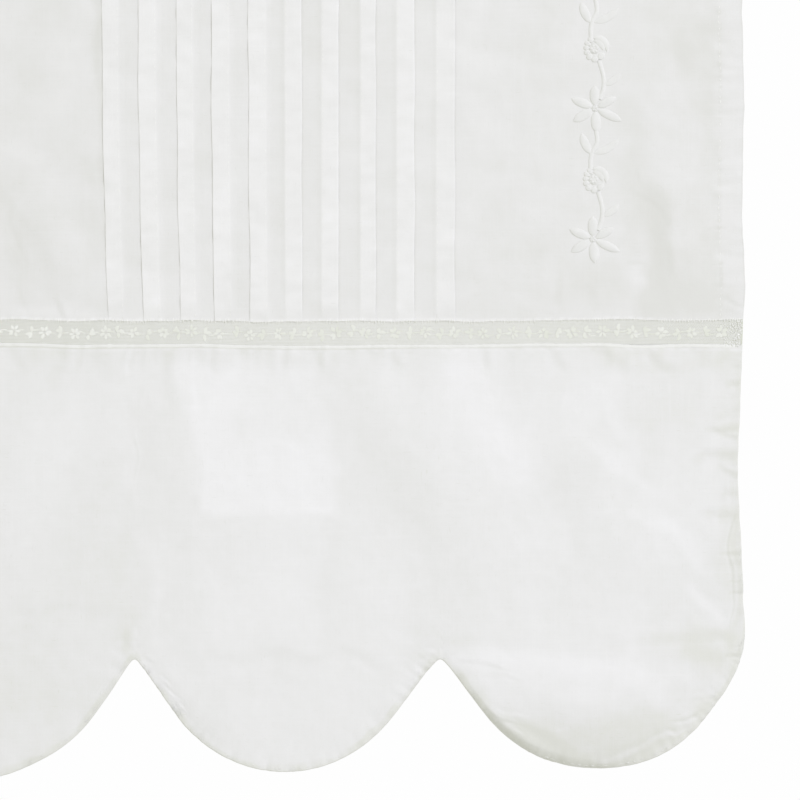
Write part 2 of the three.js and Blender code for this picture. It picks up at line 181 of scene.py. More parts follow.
# Places x, z along the middle of each crease or soft band, its width, how steeply it turns from the light
# (less than 0 turns to the light), and how much whiter it is painted there: more than 0 is painted light,
# less than 0 painted shade.
PANEL_CREASES = [
    # Right of the tucks
    ([(170, -276), (171.5, -300), (173, -311), (180, -319), (184, -327)], 5.6, 0.03, -0.45),
    ([(186, -329), (183.6, -347), (183.6, -360), (182.6, -373)], 4.6, 0.04, -0.75),
    ([(190, -237), (202, -256), (206, -274)], 4.5, 0.05, -0.4),
    ([(138, -358), (162, -358)], 7.0, 0.0, -0.5),
    ([(170.8, -314), (181, -320.5), (187.5, -326.5), (193, -337)], 0.9, 0.15, -0.1),
    ([(188.8, -338), (188.4, -356)], 1.0, 0.2, -0.2),
    ([(166.4, -348), (177.2, -349.6)], 0.8, 0.24, -0.2),
    ([(170, -353), (174, -362)], 4.0, 0.0, 0.4),
    ([(201, -362), (205, -368)], 4.0, 0.0, -0.5),
    ([(175, -255), (205, -270)], 14.0, 0.0, 0.05),
    ([(128, -305), (136, -345)], 10.0, 0.0, 0.1),
    ([(88, -225), (94, -290)], 8.0, 0.0, 0.25),
    ([(194, -352), (205, -367)], 8.0, 0.0, -0.3),
    ([(135.3, -357), (135.8, -372)], 2.0, 0.08, -0.2),
    ([(149.6, -361), (150.6, -371)], 2.0, 0.08, -0.2),
    ([(169, -354), (176.7, -360)], 3.0, -0.07, 0.2),
    ([(172.8, -246), (174.7, -238)], 0.8, 0.16, 0.0),
    ([(176.7, -244.5), (184.1, -239.2)], 0.8, 0.16, 0.0),
    ([(175.0, -302), (175.5, -313)], 0.7, 0.34, -0.2),
    ([(110, -371), (135, -374)], 1.2, 0.10, 0.1),
    ([(160, -369), (180, -373)], 1.2, 0.10, 0.1),
    # Right side hem
    ([(206, -331.4), (215, -331.9)], 0.8, 0.30, -0.2),
    ([(213.7, -350), (213.9, -360)], 0.7, 0.30, -0.3),
    ([(216, -366.5), (221.6, -370.8), (228, -371.6)], 1.0, 0.26, -0.2),
    ([(217, -329.5), (228, -331)], 1.2, 0.12, 0.0),
    # Left of the tucks and between them
    (LEFT_TROUGH, 4.4, 0.04, -0.4),
    ([(-136.5, -318), (-133.5, -334), (-130.8, -350)], 0.9, 0.16, -0.15),
    ([(-146, -358), (-136, -372)], 5.0, 0.0, 0.4),
    ([(-134, -357), (-128.8, -376)], 0.9, 0.2, -0.2),
    ([(-130, -373), (-118, -373)], 3.0, 0.0, 0.45),
    ([(-114.8, -365), (-112.4, -377)], 1.1, 0.26, -0.3),
    ([(-108, -372), (-99, -373)], 3.4, 0.0, 0.6),
    ([(-93.4, -205), (-93.0, -232), (-92.9, -246)], 3.4, 0.07, -0.45),
    ([(-93.4, -205), (-92.9, -240), (-92.6, -278)], 2.4, 0.0, -0.35),
    ([(-92.6, -250), (-91.8, -300), (-90.6, -350)], 1.7, 0.06, -0.5),
    ([(-120, -230), (-118, -350)], 17.0, 0.0, -0.05),
    ([(-33, -352), (-21, -349)], 0.8, 0.12, 0.0),
    ([(-27, -356), (-17, -354)], 0.8, 0.12, 0.0),
    ([(-20, -361), (-12, -359)], 0.8, 0.12, 0.0),
    ([(-8, -352), (3, -350)], 0.8, 0.12, 0.0),
]

# %% Creases of the flounce
FLOUNCE_CREASES = [
    # Short pleats where it is eased onto the lace
    ([(-135.5, -388), (-134.6, -402)], 2.4, 0.14, -0.15),
    ([(-113.4, -388), (-112.8, -404)], 3.2, 0.10, -0.2),
    ([(-104.4, -388), (-104.0, -401)], 2.0, 0.14, -0.1),
    ([(-96.2, -388), (-95.4, -402)], 2.6, 0.11, -0.2),
    ([(-79.4, -388), (-79.1, -404)], 1.1, -0.22, 0.3),
    ([(-60.4, -388), (-59.0, -424)], 3.4, 0.08, -0.2),
    ([(-36.4, -388), (-36.0, -401)], 2.0, 0.14, -0.1),
    ([(-1.4, -388), (-1.0, -401)], 2.2, 0.13, -0.15),
    ([(17.8, -388), (18.2, -402)], 1.5, 0.22, -0.25),
    ([(53.8, -388), (54.2, -401)], 2.0, 0.14, -0.1),
    ([(98.0, -388), (98.6, -401)], 2.2, 0.12, -0.1),
    ([(129, -388), (138, -403)], 2.8, 0.11, -0.12),
    ([(156, -388), (168, -406)], 3.2, 0.11, -0.12),
    ([(177, -388), (192, -405)], 3.2, 0.12, -0.12),
    # Left scallop and the point beside it
    ([(-130, -560), (-100, -520), (-90, -500)], 26.0, 0.0, -0.35),
    ([(-150, -518.4), (-112, -518.8), (-76, -521.6)], 3.4, 0.05, -0.1),
    ([(-75.0, -424), (-75.4, -462)], 0.7, 0.14, 0.0),
    ([(-81, -488), (-79, -532)], 6.0, 0.0, -0.25),
    ([(-65, -490), (-65, -538)], 4.0, 0.0, 0.35),
    ([(-88, -538.4), (-79.6, -542.3)], 1.0, -0.2, 0.3),
    ([(-78.5, -532), (-78, -539)], 2.2, 0.1, -0.6),
    ([(-73.0, -543.0), (-66.0, -545.5)], 0.9, 0.2, -0.2),
    ([(-62.4, -553.4), (-56.2, -556.5)], 0.7, -0.38, 0.3),
    ([(-61.1, -557.1), (-55.0, -561.5)], 0.7, -0.38, 0.3),
    ([(-57.4, -560.1), (-50.6, -564.5)], 0.7, -0.38, 0.3),
    ([(-55.0, -563.9), (-49.4, -568.8)], 0.7, -0.38, 0.3),
    # Middle
    ([(-40, -474.7), (19, -472.5)], 2.6, 0.03, 0.0),
    ([(30, -408), (51, -446), (75, -495), (90, -530)], 11.0, 0.02, -0.14),
    ([(45, -404), (52, -410)], 5.0, -0.05, 0.4),
    ([(-50, -543), (-28, -543), (7, -541.5), (36, -542.5), (66, -543.5)], 3.2, 0.06, -0.14),
    # Above the right scallop
    ([(84, -402), (104, -430), (116, -446)], 13.0, 0.0, 0.7),
    ([(158, -408), (166, -440)], 9.0, 0.0, 0.3),
    ([(142, -431.5), (179, -461)], 4.0, -0.07, 0.25),
    ([(172, -470), (186, -478.5), (204, -494)], 4.0, -0.06, 0.35),
    ([(199, -510.5), (216, -524)], 3.2, -0.07, 0.4),
    ([(172.5, -535), (197.4, -532), (221, -531)], 2.8, 0.12, -0.3),
    ([(196, -540), (207, -546)], 4.5, 0.0, -0.5),
]

# %% Creases of the right scallop
SCALLOP_CREASES = [
    # The point beside it and the white wedge under it
    ([(67.3, -540.1), (75.2, -541.8)], 0.9, -0.2, 0.2),
    ([(66.3, -544.3), (73.0, -543.5)], 0.9, 0.2, -0.2),
    ([(77.1, -543.6), (85.0, -544.1)], 0.9, -0.2, 0.2),
    ([(78.8, -541.5), (103, -544), (132, -546), (171, -550.6)], 5.0, -0.04, 0.3),
    ([(88.8, -548.7), (132, -550.7), (171, -554.6), (195, -559.6)], 9.0, 0.0, 0.4),
    ([(82, -545.0), (97, -549.0), (110, -551.8)], 0.9, 0.26, -0.2),
    ([(90.5, -553.2), (107, -553.7), (114.7, -555.7)], 0.8, 0.18, -0.1),
    # Its rolled foot and the puckers of its rim
    ([(86, -555), (103, -572.5), (118, -584.0), (134, -593), (152, -598)], 3.8, 0.0, -0.75),
    ([(106, -568), (114, -574), (126, -584), (137, -592)], 2.6, 0.12, -0.5),
    ([(150, -576), (172, -573), (186, -569)], 7.0, 0.0, -0.35),
    ([(140, -596.5), (151, -597.5), (160, -596.5)], 1.5, 0.0, -0.6),
    ([(190, -560), (200, -568)], 5.0, 0.0, -0.45),
    ([(160, -593), (178, -587), (196, -577), (206, -566)], 4.5, 0.0, -0.5),
    ([(120, -582), (150, -588), (180, -579)], 9.0, 0.0, -0.8),
    ([(97, -567), (112.8, -575.4)], 0.9, 0.34, -0.3),
    ([(99.9, -565.5), (117.7, -571.4)], 0.9, -0.26, 0.2),
    ([(109.3, -577.8), (115.7, -583.2)], 0.8, -0.25, 0.3),
    ([(130.3, -581.8), (137.2, -579.8)], 0.7, -0.2, 0.3),
    ([(186.7, -572.9), (202.5, -570.4)], 1.0, 0.3, -0.3),
    ([(187.5, -574.8), (202.5, -572.2)], 0.8, -0.25, 0.2),
    ([(183.5, -581), (189, -582)], 1.2, -0.18, 0.3),
    ([(147.5, -596), (156.8, -594), (171.2, -588.2), (183, -584.2), (195, -578.3)], 1.2, -0.3, 0.35),
    ([(155, -598), (172.8, -592), (186.2, -586.5), (199.2, -578)], 1.6, 0.0, -0.6),
    ([(196.5, -565), (206, -562)], 0.9, 0.24, -0.2),
]

# %% Gathers at the sides of the flounce
# Where the sewing draws up the side: height, reach inward, rise over that reach, width, how steeply it turns
# from the light, and how much painted shade lies along it.
SIDE_GATHERS = [
    (-400.0, 6, 1.0, 1.1, 0.12, 0.2),
    (-408.0, 8, -0.6, 2.0, 0.18, 0.5),
    (-422.0, 8, -0.6, 1.2, 0.16, 0.2),
    (-429.3, 15, -0.8, 2.2, 0.22, 0.6),
    (-436.0, 9, 3.0, 1.3, 0.18, 0.3),
    (-444.0, 21, -2.6, 3.2, 0.12, 0.45),
    (-454.5, 9, 1.5, 1.6, 0.16, 0.3),
    (-461.5, 7, -1.5, 1.6, 0.18, 0.3),
    (-473.5, 17, 0.5, 3.0, 0.13, 0.5),
    (-492.0, 8, -0.5, 1.0, 0.28, 0.4),
    (-505.5, 7, -0.5, 0.7, 0.24, 0.3),
    (-513.5, 8, 1.0, 0.8, 0.28, 0.4),
    (-541.0, 13, -2.5, 1.2, 0.32, 0.4),
]
GATHER_OVERSHOOT = 3
LEFT_GATHERS_LOWER = 6.5
# A fold just inside each side and the soft shade beside it, in the columns of the creases above.
INNER_FOLDS = [
    ([(221.3, -474), (219.8, -492), (218.6, -515), (219.2, -527)], 0.55, 0.42, -0.35),
    ([(223, -476), (222.5, -524)], 2.0, 0.0, -0.5),
]
side_creases = []
for z, reach, rise, width, slope, gather_shade in SIDE_GATHERS:
    for side, lower in ((1, 0), (-1, LEFT_GATHERS_LOWER)):
        inner, outer = side * (HALF_WIDTH - reach), side * (HALF_WIDTH + GATHER_OVERSHOOT)
        side_creases.append(([(inner, z - lower + rise), (outer, z - lower)], width, slope, -gather_shade))
for side in (1, -1):
    for places, *shape in INNER_FOLDS:
        side_creases.append(([(side * x, z) for x, z in places], *shape))
CREASES = PANEL_CREASES + FLOUNCE_CREASES + SCALLOP_CREASES + side_creases
print("creases:", len(CREASES))

# %% [markdown]
# ## Patches
# Between the creases the cloth has broad patches of painted light and painted shade. A patch changes the
# whiteness alone, has four sides and fades out over a soft border.

# %% Patches
# Left, right, foot and head, how far the sides lean for each millimetre up, how soft the border is, and how
# much whiter the cloth is painted: more than 0 is painted light, less than 0 painted shade.
PATCHES = [
    (-45.5, 21, -473, -398, -0.13, 7, 0.75),
    (-55, -46, -424, -399, -0.3, 6, 0.45),
    (-155, -94, -612, -556, 0.0, 22, -0.3),
    (196, 226, -578, -528, 0.0, 10, -0.25),
    (60, 92, -548, -529, 0.0, 8, -0.3),
    (-25, 18, -435, -397, 0.0, 9, -0.38),
    (-42, 18, -535, -470, 0.0, 16, 0.2),
    (-8, 18, -535, -470, 0.0, 10, 0.15),
    (-82, -46, -470, -398, 0.0, 12, 0.15),
    (178, 216, -562, -500, 0.0, 14, -0.2),
    (172, 224, -385, -353, 0.0, 9, -0.45),
    (96, 222, -352, -210, 0.0, 24, -0.12),
    (92, 214, -381, -361, 0.0, 8, -0.22),
    (167, 190, -356, -314, -0.15, 9, -0.34),
    (204, 214, -362, -333, 0.0, 7, -0.3),
    (192, 214, -258, -231, 0.0, 10, -0.4),
    (205, 214, -308, -276, 0.0, 7, -0.35),
    (104, 127, -363, -340, 0.0, 9, -0.35),
    (88, 100, -240, -205, 0.0, 8, 0.3),
    (2, 40, -252, -205, 0.0, 12, -0.3),
    (107, 122, -309, -298, 0.0, 6, 0.25),
    (-124, -98, -356, -328, 0.0, 10, -0.25),
    (152, 216, -402, -384, 0.0, 8, -0.5),
    (172, 222, -549, -528, 0.0, 10, -0.25),
    (196, 213, -354, -312, 0.0, 9, -0.3),
    (178, 213, -250, -210, 0.0, 12, -0.3),
    (-102, -92, -352, -296, 0.0, 6, -0.35),
    (164, 206, -430, -400, 0.0, 12, -0.32),
    (150, 182, -444, -424, 0.0, 10, -0.2),
    (164, 182, -482, -450, 0.0, 10, -0.25),
    (-133, -52, -398, -384, 0.0, 5, -0.18),
    (214, 235, -565, -390, 0.0, 9, -0.45),
    (-235, -214, -565, -390, 0.0, 9, -0.45),
]
print("patches:", len(PATCHES))

# %% [markdown]
# ## From the tables to the cloth
# Each point of cloth asks how far it is from a crease, and on which side, and takes its depth and its change
# of whiteness from that. Most creases are short, so points far from one are passed over, which saves time.

# %% Distance from a crease
LIGHT_SIDE = np.array([0.72, 0.69])


def band_distance(x, z, places):
    """Distance from a line of places, more than 0 on its lit side, and how far along the line."""
    places = np.asarray(places, float)
    best = np.full_like(x, np.inf)
    signed = np.zeros_like(x)
    along = np.zeros_like(x)
    lengths = np.linalg.norm(np.diff(places, axis=0), axis=1)
    start = 0.0
    for a, b, length in zip(places[:-1], places[1:], lengths):
        way = (b - a) / length
        across = np.array([-way[1], way[0]])
        across = across if across @ LIGHT_SIDE > 0 else -across
        t = np.clip(((x - a[0]) * way[0] + (z - a[1]) * way[1]) / length, 0, 1)
        gap_x, gap_z = x - a[0] - t * length * way[0], z - a[1] - t * length * way[1]
        distance = np.hypot(gap_x, gap_z)
        nearer = distance < best
        best = np.where(nearer, distance, best)
        signed = np.where(nearer, distance * np.sign(gap_x * across[0] + gap_z * across[1]), signed)
        along = np.where(nearer, (start + t * length) / lengths.sum(), along)
        start += length
    return signed, along


def near_band(x, z, places, reach):
    """Which points lie close enough to a crease to feel it."""
    low, high = np.min(places, axis=0) - reach, np.max(places, axis=0) + reach
    return (x > low[0]) & (x < high[0]) & (z > low[1]) & (z < high[1])


# %% Depth and whiteness of the creases
# How many of its widths away a crease still shapes the cloth, and still changes its whiteness.
SHAPE_REACH, TONE_REACH = 4, 2
# The share of its length over which a crease fades out at each end.
CREASE_FADE = 0.25


def small_creases(x, z):
    depth = np.zeros_like(x)
    x, z = strayed(x, z)
    for places, width, slope, _ in CREASES:
        near = near_band(x, z, places, SHAPE_REACH * width)
        if slope == 0 or not near.any():
            continue
        signed, along = band_distance(x[near], z[near], places)
        ends = ease(along / CREASE_FADE) * ease((1 - along) / CREASE_FADE)
        depth[near] -= slope * signed * np.exp(-0.5 * (signed / width) ** 2) * ends
    return depth


def painted_light_and_shade(x, z):
    """Painted light and painted shade of the creases and patches, as a change of whiteness."""
    change = np.zeros_like(x)
    x, z = strayed(x, z)
    for places, width, _, amount in CREASES:
        near = near_band(x, z, places, TONE_REACH * width)
        if amount == 0 or not near.any():
            continue
        signed, _ = band_distance(x[near], z[near], places)
        change[near] += amount * bump(signed / (TONE_REACH * width))
    for left, right, foot, head, lean, soft, amount in PATCHES:
        across = x - lean * (z - (foot + head) / 2)
        wide = ease((across - left) / soft + 0.5) * ease((right - across) / soft + 0.5)
        change += amount * wide * ease((z - foot) / soft + 0.5) * ease((head - z) / soft + 0.5)
    return change


# %% [markdown]
# ## Seams and edges
# No edge of a sewn curtain is straight: the sides wander in and out, the seams rise and fall, the left tucks
# lean, and the foot swings to one side. Short tables say how far, and the cloth between eases from place to
# place.

# %% Seams and edges
# How far each side stands out, by height, and how far the seams at the lace rise, by place across.
EDGE_Z = [-530, -500, -452, -388, -363, -320, -270, -220, -40]
EDGE_OUT = [0.8, -0.4, -2.5, -0.3, 1.0, -0.4, 0.5, -0.5, 0]
SEAM_X = [-225, -136, -100, -48, 0, 70, 145, 225]
SEAM_RISE = [0.2, 0.8, -0.2, 0.3, -0.7, -0.2, 0.5, 0]
# How far the rolled edge of the panel rises above its straight line.
HEM_X = [-225, -140, -120, -97, -66, -18, 2, 60, 105, 140, 160, 180, 205, 225]
HEM_RISE = [0, 0.2, -0.2, 0.2, -0.4, -0.3, 0.4, 0.1, -0.5, -0.2, 0.7, 0.0, -0.2, 0.6]
# How far the foot of the flounce hangs to the right of its straight place and below it.
FOOT_X = [-225, -150, -118, -90, -75, -50, 45, 66, 80, 110, 150, 185, 210, 225]
FOOT_SIDE = [0, 0, 0.4, 1, 0, -0.8, -1.2, -0.4, 1.4, 2.2, 2.6, 3.8, 3.8, 0.8]
FOOT_DROP = [1.5, 3.2, 0.5, 0.2, 0, 0, 0, 0, 0, 0, 0, 0, 0, 0]
FOOT_START, FOOT_REACH = -515, 40
SEAM_REACH = 60
EDGE_REACH = 35
ROLLED_EDGE_REACH = 14
# The left tucks lean to the right below a height, most at one place and less to both sides of it.
LEAN_START, LEAN_STILL, LEAN_MOST, LEAN_AT_FOOT = -220, 20, -91, 3.2


def tuck_lean(x, z):
    from_still = (LEAN_STILL - x) / (LEAN_STILL - LEAN_MOST)
    from_edge = (x + HALF_WIDTH) / (LEAN_MOST + HALF_WIDTH)
    across = np.clip(np.minimum(from_still, from_edge), 0, 1)
    down = np.clip((LEAN_START - z) / (LEAN_START - PANEL_FOOT), 0, 1)
    return LEAN_AT_FOOT * across * down**2 * ease((z - PANEL_FOOT) / SEAM_REACH + 1)


# %% The drape
# The sides waver most, and this far in they have lost about two thirds of that.
SIDE_FADE = 7
SIDE_WAVER, ROLLED_EDGE_WAVER = 0.22, 0.3
DENTS, WRINKLES, FINE_WRINKLES, SIDE_WRINKLES = 0.22, 0.14, 0.04, 0.5


def drape(points):
    """Moves points of the flat curtain to where they hang."""
    x, y, z = points[:, 0], points[:, 1], points[:, 2]
    near_edge = ease((np.abs(x) - HALF_WIDTH + EDGE_REACH) / EDGE_REACH)
    at_edge = np.exp(-np.maximum(HALF_WIDTH - np.abs(x), 0) / SIDE_FADE)
    out = np.sign(x) * near_edge * eased(z, EDGE_Z, EDGE_OUT)
    out += np.sign(x) * at_edge * SIDE_WAVER * uneven(z, 13, 37)
    rise = eased(x, SEAM_X, SEAM_RISE) * bump((z - (PANEL_FOOT + LACE_FOOT) / 2) / SEAM_REACH)
    wander = eased(x, HEM_X, HEM_RISE) + ROLLED_EDGE_WAVER * uneven(x, 24, 39)
    rise += wander * bump((z - PANEL_FOOT) / ROLLED_EDGE_REACH)
    at_foot = ease((FOOT_START - z) / FOOT_REACH)
    out += at_foot * eased(x, FOOT_X, FOOT_SIDE)
    rise -= at_foot * eased(x, FOOT_X, FOOT_DROP)
    back = wide_folds(x, z) + small_creases(x, z)
    dents = DENTS * crumple(x, z, 46, 3) + WRINKLES * wrinkle(x, z, 22, 5)
    back += dents + FINE_WRINKLES * wrinkle(x, z, 10, 9)
    back += SIDE_WRINKLES * at_edge * wrinkle(0.2 * x, z, 12, 7)
    return np.column_stack([x + tuck_lean(x, z) + out, y + back, z + rise])


# %% [markdown]
# ## Making meshes
# Thousands of stitches and net strands are too many to make with operators, so every mesh is made from
# arrays of points and faces. Pieces of one kind are collected and joined before Blender sees them.

# %% Mesh helpers
def grid_faces(rows, columns, first=0):
    """Quads of a grid whose points run row by row."""
    row, column = np.meshgrid(np.arange(rows - 1), np.arange(columns - 1), indexing="ij")
    a = (first + row * columns + column).ravel()
    return np.column_stack([a, a + 1, a + columns + 1, a + columns])


def joined(parts):
    """Points and quads of many small parts as one."""
    points, faces, count = [], [], 0
    for part_points, part_faces in parts:
        points.append(part_points)
        faces.append(part_faces + count)
        count += len(part_points)
    return np.vstack(points), np.vstack(faces)


def make_piece(name, points_mm, faces, material, whiteness=None):
    mesh = bpy.data.meshes.new(name)
    mesh.from_pydata((points_mm * MM).tolist(), [], faces.tolist())
    if whiteness is not None:
        mesh.attributes.new("whiteness", "FLOAT", "POINT").data.foreach_set("value", whiteness)
    mesh.validate()
    mesh.polygons.foreach_set("use_smooth", np.ones(len(mesh.polygons), bool))
    mesh.materials.append(material)
    piece = bpy.data.objects.new(name, mesh)
    bpy.context.scene.collection.objects.link(piece)
    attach(piece, "root")
    triangles = sum(len(p.vertices) - 2 for p in mesh.polygons)
    print(f"{name}: {len(mesh.vertices)} points, {triangles} triangles")
    return piece


# %% [markdown]
# ## Cotton
# The cloth is a thin plain weave. One layer looks a little grey, because the shade behind it shows through,
# and two or three layers on top of each other look whiter. A sheer shader could do this as well, but how
# white the layers look would then hang on the lamps and on the room behind. So each point of the cloth
# carries a whiteness: 0 for one layer, 1 for several. Painted shade from creases, patches and sewn edges
# lowers it, and painted light raises it. The weave, the thicker threads and the fine crumple are bump.

# %% Node helpers
def new_material(name):
    material = bpy.data.materials.new(name)
    material.use_nodes = True
    nodes = material.node_tree.nodes
    return material, nodes, material.node_tree.links, nodes["Principled BSDF"]


def object_noise(nodes, links, scale_xyz, detail, roughness=0.5):
    """Noise in the piece's own metres, stretched by a scale for each axis."""
    place = nodes.new("ShaderNodeTexCoord")
    stretch = nodes.new("ShaderNodeMapping")
    stretch.inputs["Scale"].default_value = scale_xyz
    noise = nodes.new("ShaderNodeTexNoise")
    noise.inputs["Scale"].default_value = 1.0
    noise.inputs["Detail"].default_value = detail
    noise.inputs["Roughness"].default_value = roughness
    links.new(place.outputs["Object"], stretch.inputs["Vector"])
    links.new(stretch.outputs["Vector"], noise.inputs["Vector"])
    return noise.outputs["Fac"]


def object_bands(nodes, links, axis, period_mm):
    """Even bands across the piece, for the threads of a weave."""
    place = nodes.new("ShaderNodeTexCoord")
    wave = nodes.new("ShaderNodeTexWave")
    wave.wave_type = "BANDS"
    wave.bands_direction = axis
    # At a scale of 1 the bands are pi / 10 of a metre apart.
    wave.inputs["Scale"].default_value = math.pi / (10 * period_mm * MM)
    wave.inputs["Distortion"].default_value = 0.6
    wave.inputs["Detail Scale"].default_value = 0.4
    links.new(place.outputs["Object"], wave.inputs["Vector"])
    return wave.outputs["Fac"]


def add_bump(nodes, links, height, distance_mm, strength, below=None):
    """Raises the surface by a height, on top of the bump below it."""
    bump_node = nodes.new("ShaderNodeBump")
    bump_node.inputs["Strength"].default_value = strength
    bump_node.inputs["Distance"].default_value = distance_mm * MM
    links.new(height, bump_node.inputs["Height"])
    if below is not None:
        links.new(below, bump_node.inputs["Normal"])
    return bump_node.outputs["Normal"]


# %% Node helpers for numbers and colours
def maths(nodes, links, operation, first, second):
    node = nodes.new("ShaderNodeMath")
    node.operation = operation
    links.new(first, node.inputs[0])
    links.new(second, node.inputs[1])
    return node.outputs[0]


def rescaled(nodes, links, value, from_range, to_range=(0.0, 1.0)):
    """A value brought from one range into another, and held inside it."""
    node = nodes.new("ShaderNodeMapRange")
    sockets = ("From Min", "From Max", "To Min", "To Max")
    for socket, number in zip(sockets, (*from_range, *to_range)):
        node.inputs[socket].default_value = number
    links.new(value, node.inputs["Value"])
    return node.outputs["Result"]


def tones(nodes, links, factor, stops):
    """Colours that change evenly from stop to stop."""
    ramp = nodes.new("ShaderNodeValToRGB")
    stop_list = ramp.color_ramp.elements
    while len(stop_list) < len(stops):
        stop_list.new(1.0)
    for stop, (position, colour) in zip(stop_list, stops):
        stop.position = position
        stop.color = (*colour, 1)
    links.new(factor, ramp.inputs["Fac"])
    return ramp.outputs["Color"]


# %% Threads and whiteness
# Whiteness at the two ends of the cotton's colours.
WHITENESS_RANGE = (-1.0, 1.5)
# Scales of the noise in x, y and z: slubs are long thick places in a thread, knots are short dark ones.
WEFT_SLUB, WARP_SLUB = (30, 30, 1100), (1100, 30, 30)
WEFT_KNOT, WARP_KNOT = (240, 240, 1500), (1500, 240, 240)
MOTTLE = (150, 150, 150)
# The range of each noise that shows, and the change of whiteness that it becomes.
MOTTLE_RANGE, MOTTLE_CHANGE = (0.7, 1.5), (-0.3, 0.3)
KNOT_RANGE, KNOT_CHANGE = (0.68, 0.8), (0.0, -0.7)


def cotton_whiteness(nodes, links, slubs):
    """The whiteness of each point, with the threads and a fine mottle on it."""
    layers = nodes.new("ShaderNodeAttribute")
    layers.attribute_name = "whiteness"
    mottled = maths(nodes, links, "ADD", slubs, object_noise(nodes, links, MOTTLE, 3))
    shift = rescaled(nodes, links, mottled, MOTTLE_RANGE, MOTTLE_CHANGE)
    weft_knots, warp_knots = (object_noise(nodes, links, knot, 1) for knot in (WEFT_KNOT, WARP_KNOT))
    knots = maths(nodes, links, "MAXIMUM", weft_knots, warp_knots)
    ticks = rescaled(nodes, links, knots, KNOT_RANGE, KNOT_CHANGE)
    marked = maths(nodes, links, "ADD", shift, ticks)
    level = maths(nodes, links, "ADD", layers.outputs["Fac"], marked)
    return rescaled(nodes, links, level, WHITENESS_RANGE)


# %% Cotton material
# The whitest colour is reached by painted light and by mottle on several layers; the dull colour of each
# cotton by painted shade, knots and mottle.
WHITEST = (0.918, 0.918, 0.904)
# Where the four colours stand between the least and the most whiteness.
STOPS = (0, 0.4, 0.8, 1)
CREPE = (95, 95, 95)
WEAVE_PERIOD = 0.42
# Height in millimetres and strength of each bump.
WEAVE_BUMP, SLUB_BUMP, CREPE_BUMP = (0.03, 0.4), (0.04, 0.5), (0.5, 0.2)
COTTON_ROUGH, COTTON_SHINE = 0.92, 0.2


def cotton_material(name, dull, one_layer, many_layers):
    material, nodes, links, shader = new_material(name)
    weft_slubs, warp_slubs = (object_noise(nodes, links, slub, 2) for slub in (WEFT_SLUB, WARP_SLUB))
    slubs = maths(nodes, links, "MAXIMUM", weft_slubs, warp_slubs)
    whiteness = cotton_whiteness(nodes, links, slubs)
    stops = list(zip(STOPS, (dull, one_layer, many_layers, WHITEST)))
    links.new(tones(nodes, links, whiteness, stops), shader.inputs["Base Color"])
    normal = None
    for axis in ("Z", "X"):
        threads = object_bands(nodes, links, axis, WEAVE_PERIOD)
        normal = add_bump(nodes, links, threads, *WEAVE_BUMP, normal)
    normal = add_bump(nodes, links, slubs, *SLUB_BUMP, normal)
    normal = add_bump(nodes, links, object_noise(nodes, links, CREPE, 4, 0.6), *CREPE_BUMP, normal)
    links.new(normal, shader.inputs["Normal"])
    shader.inputs["Roughness"].default_value = COTTON_ROUGH
    shader.inputs["Specular IOR Level"].default_value = COTTON_SHINE
    return material


cotton = cotton_material(
    "cotton",
    dull=(0.780, 0.787, 0.724),
    one_layer=(0.838, 0.840, 0.812),
    many_layers=(0.890, 0.890, 0.872),
)
# The panel is a single layer: its painted shade is greyer than in the flounce, and its tucks are a little
# warmer.
panel_cotton = cotton_material(
    "panel_cotton",
    dull=(0.781, 0.784, 0.741),
    one_layer=(0.834, 0.835, 0.808),
    many_layers=(0.890, 0.890, 0.867),
)
print("materials:", cotton.name, panel_cotton.name)

# %% [markdown]
# ## The tucked panel
# A tuck is a pinch of cloth stitched along its root and pressed to one side, so the panel is one sheet that
# runs back and forth in its section. The sheet is swept along that section line: first the section, point
# by point from one side hem to the other, then the same section at every height. Five tucks are pressed to
# the left and five to the right, away from the middle. The tucks are not quite even: their folded edges
# waver and lift a little, which is what the light shows.

# %% Section of a tuck
LAYER = 0.155
TURN_STEPS = 4
FLAP_WHITENESS = 0.85
# The folded edge of a flap is whiter than several layers: a painted highlight along the fold.
FOLD_HIGHLIGHT_WHITENESS = 1.3
UNDERSIDE_WHITENESS = 0.3
# Places on the underside and on the top of a flap, as shares of its width.
UNDERSIDE = (0.3, 0.55, 0.8)
TOP_SIDE = (0.92, 0.75, 0.5, 0.25, 0.08)
# Painted shade on the cloth that a flap lies on, beside the flap's edge: place from the edge, share of the
# shade.
BESIDE_FLAP = [(-1.5, 0.0), (-0.5, 0.5), (-0.1, 1.0), (0.6, 1.0)]
# Past its stitching a tuck comes down to the plain cloth: place across, layers high, share of whiteness.
TUCK_COMES_DOWN = [
    (-0.2, 1.95, 0.9),
    (0.2, 1.75, 0.5),
    (0.6, 1.4, 0.1),
    (1.1, 1.0, 0.0),
    (1.8, 0.5, 0.0),
    (2.6, 0.15, 0.0),
    (3.4, 0.0, 0.0),
]


def half_turn(x, y_from, y_to, side):
    angle = np.linspace(0, np.pi, TURN_STEPS + 1)
    radius = abs(y_to - y_from) / 2
    middle = (y_from + y_to) / 2
    return [(x + side * radius * math.sin(a), middle + (y_from - middle) * math.cos(a)) for a in angle]


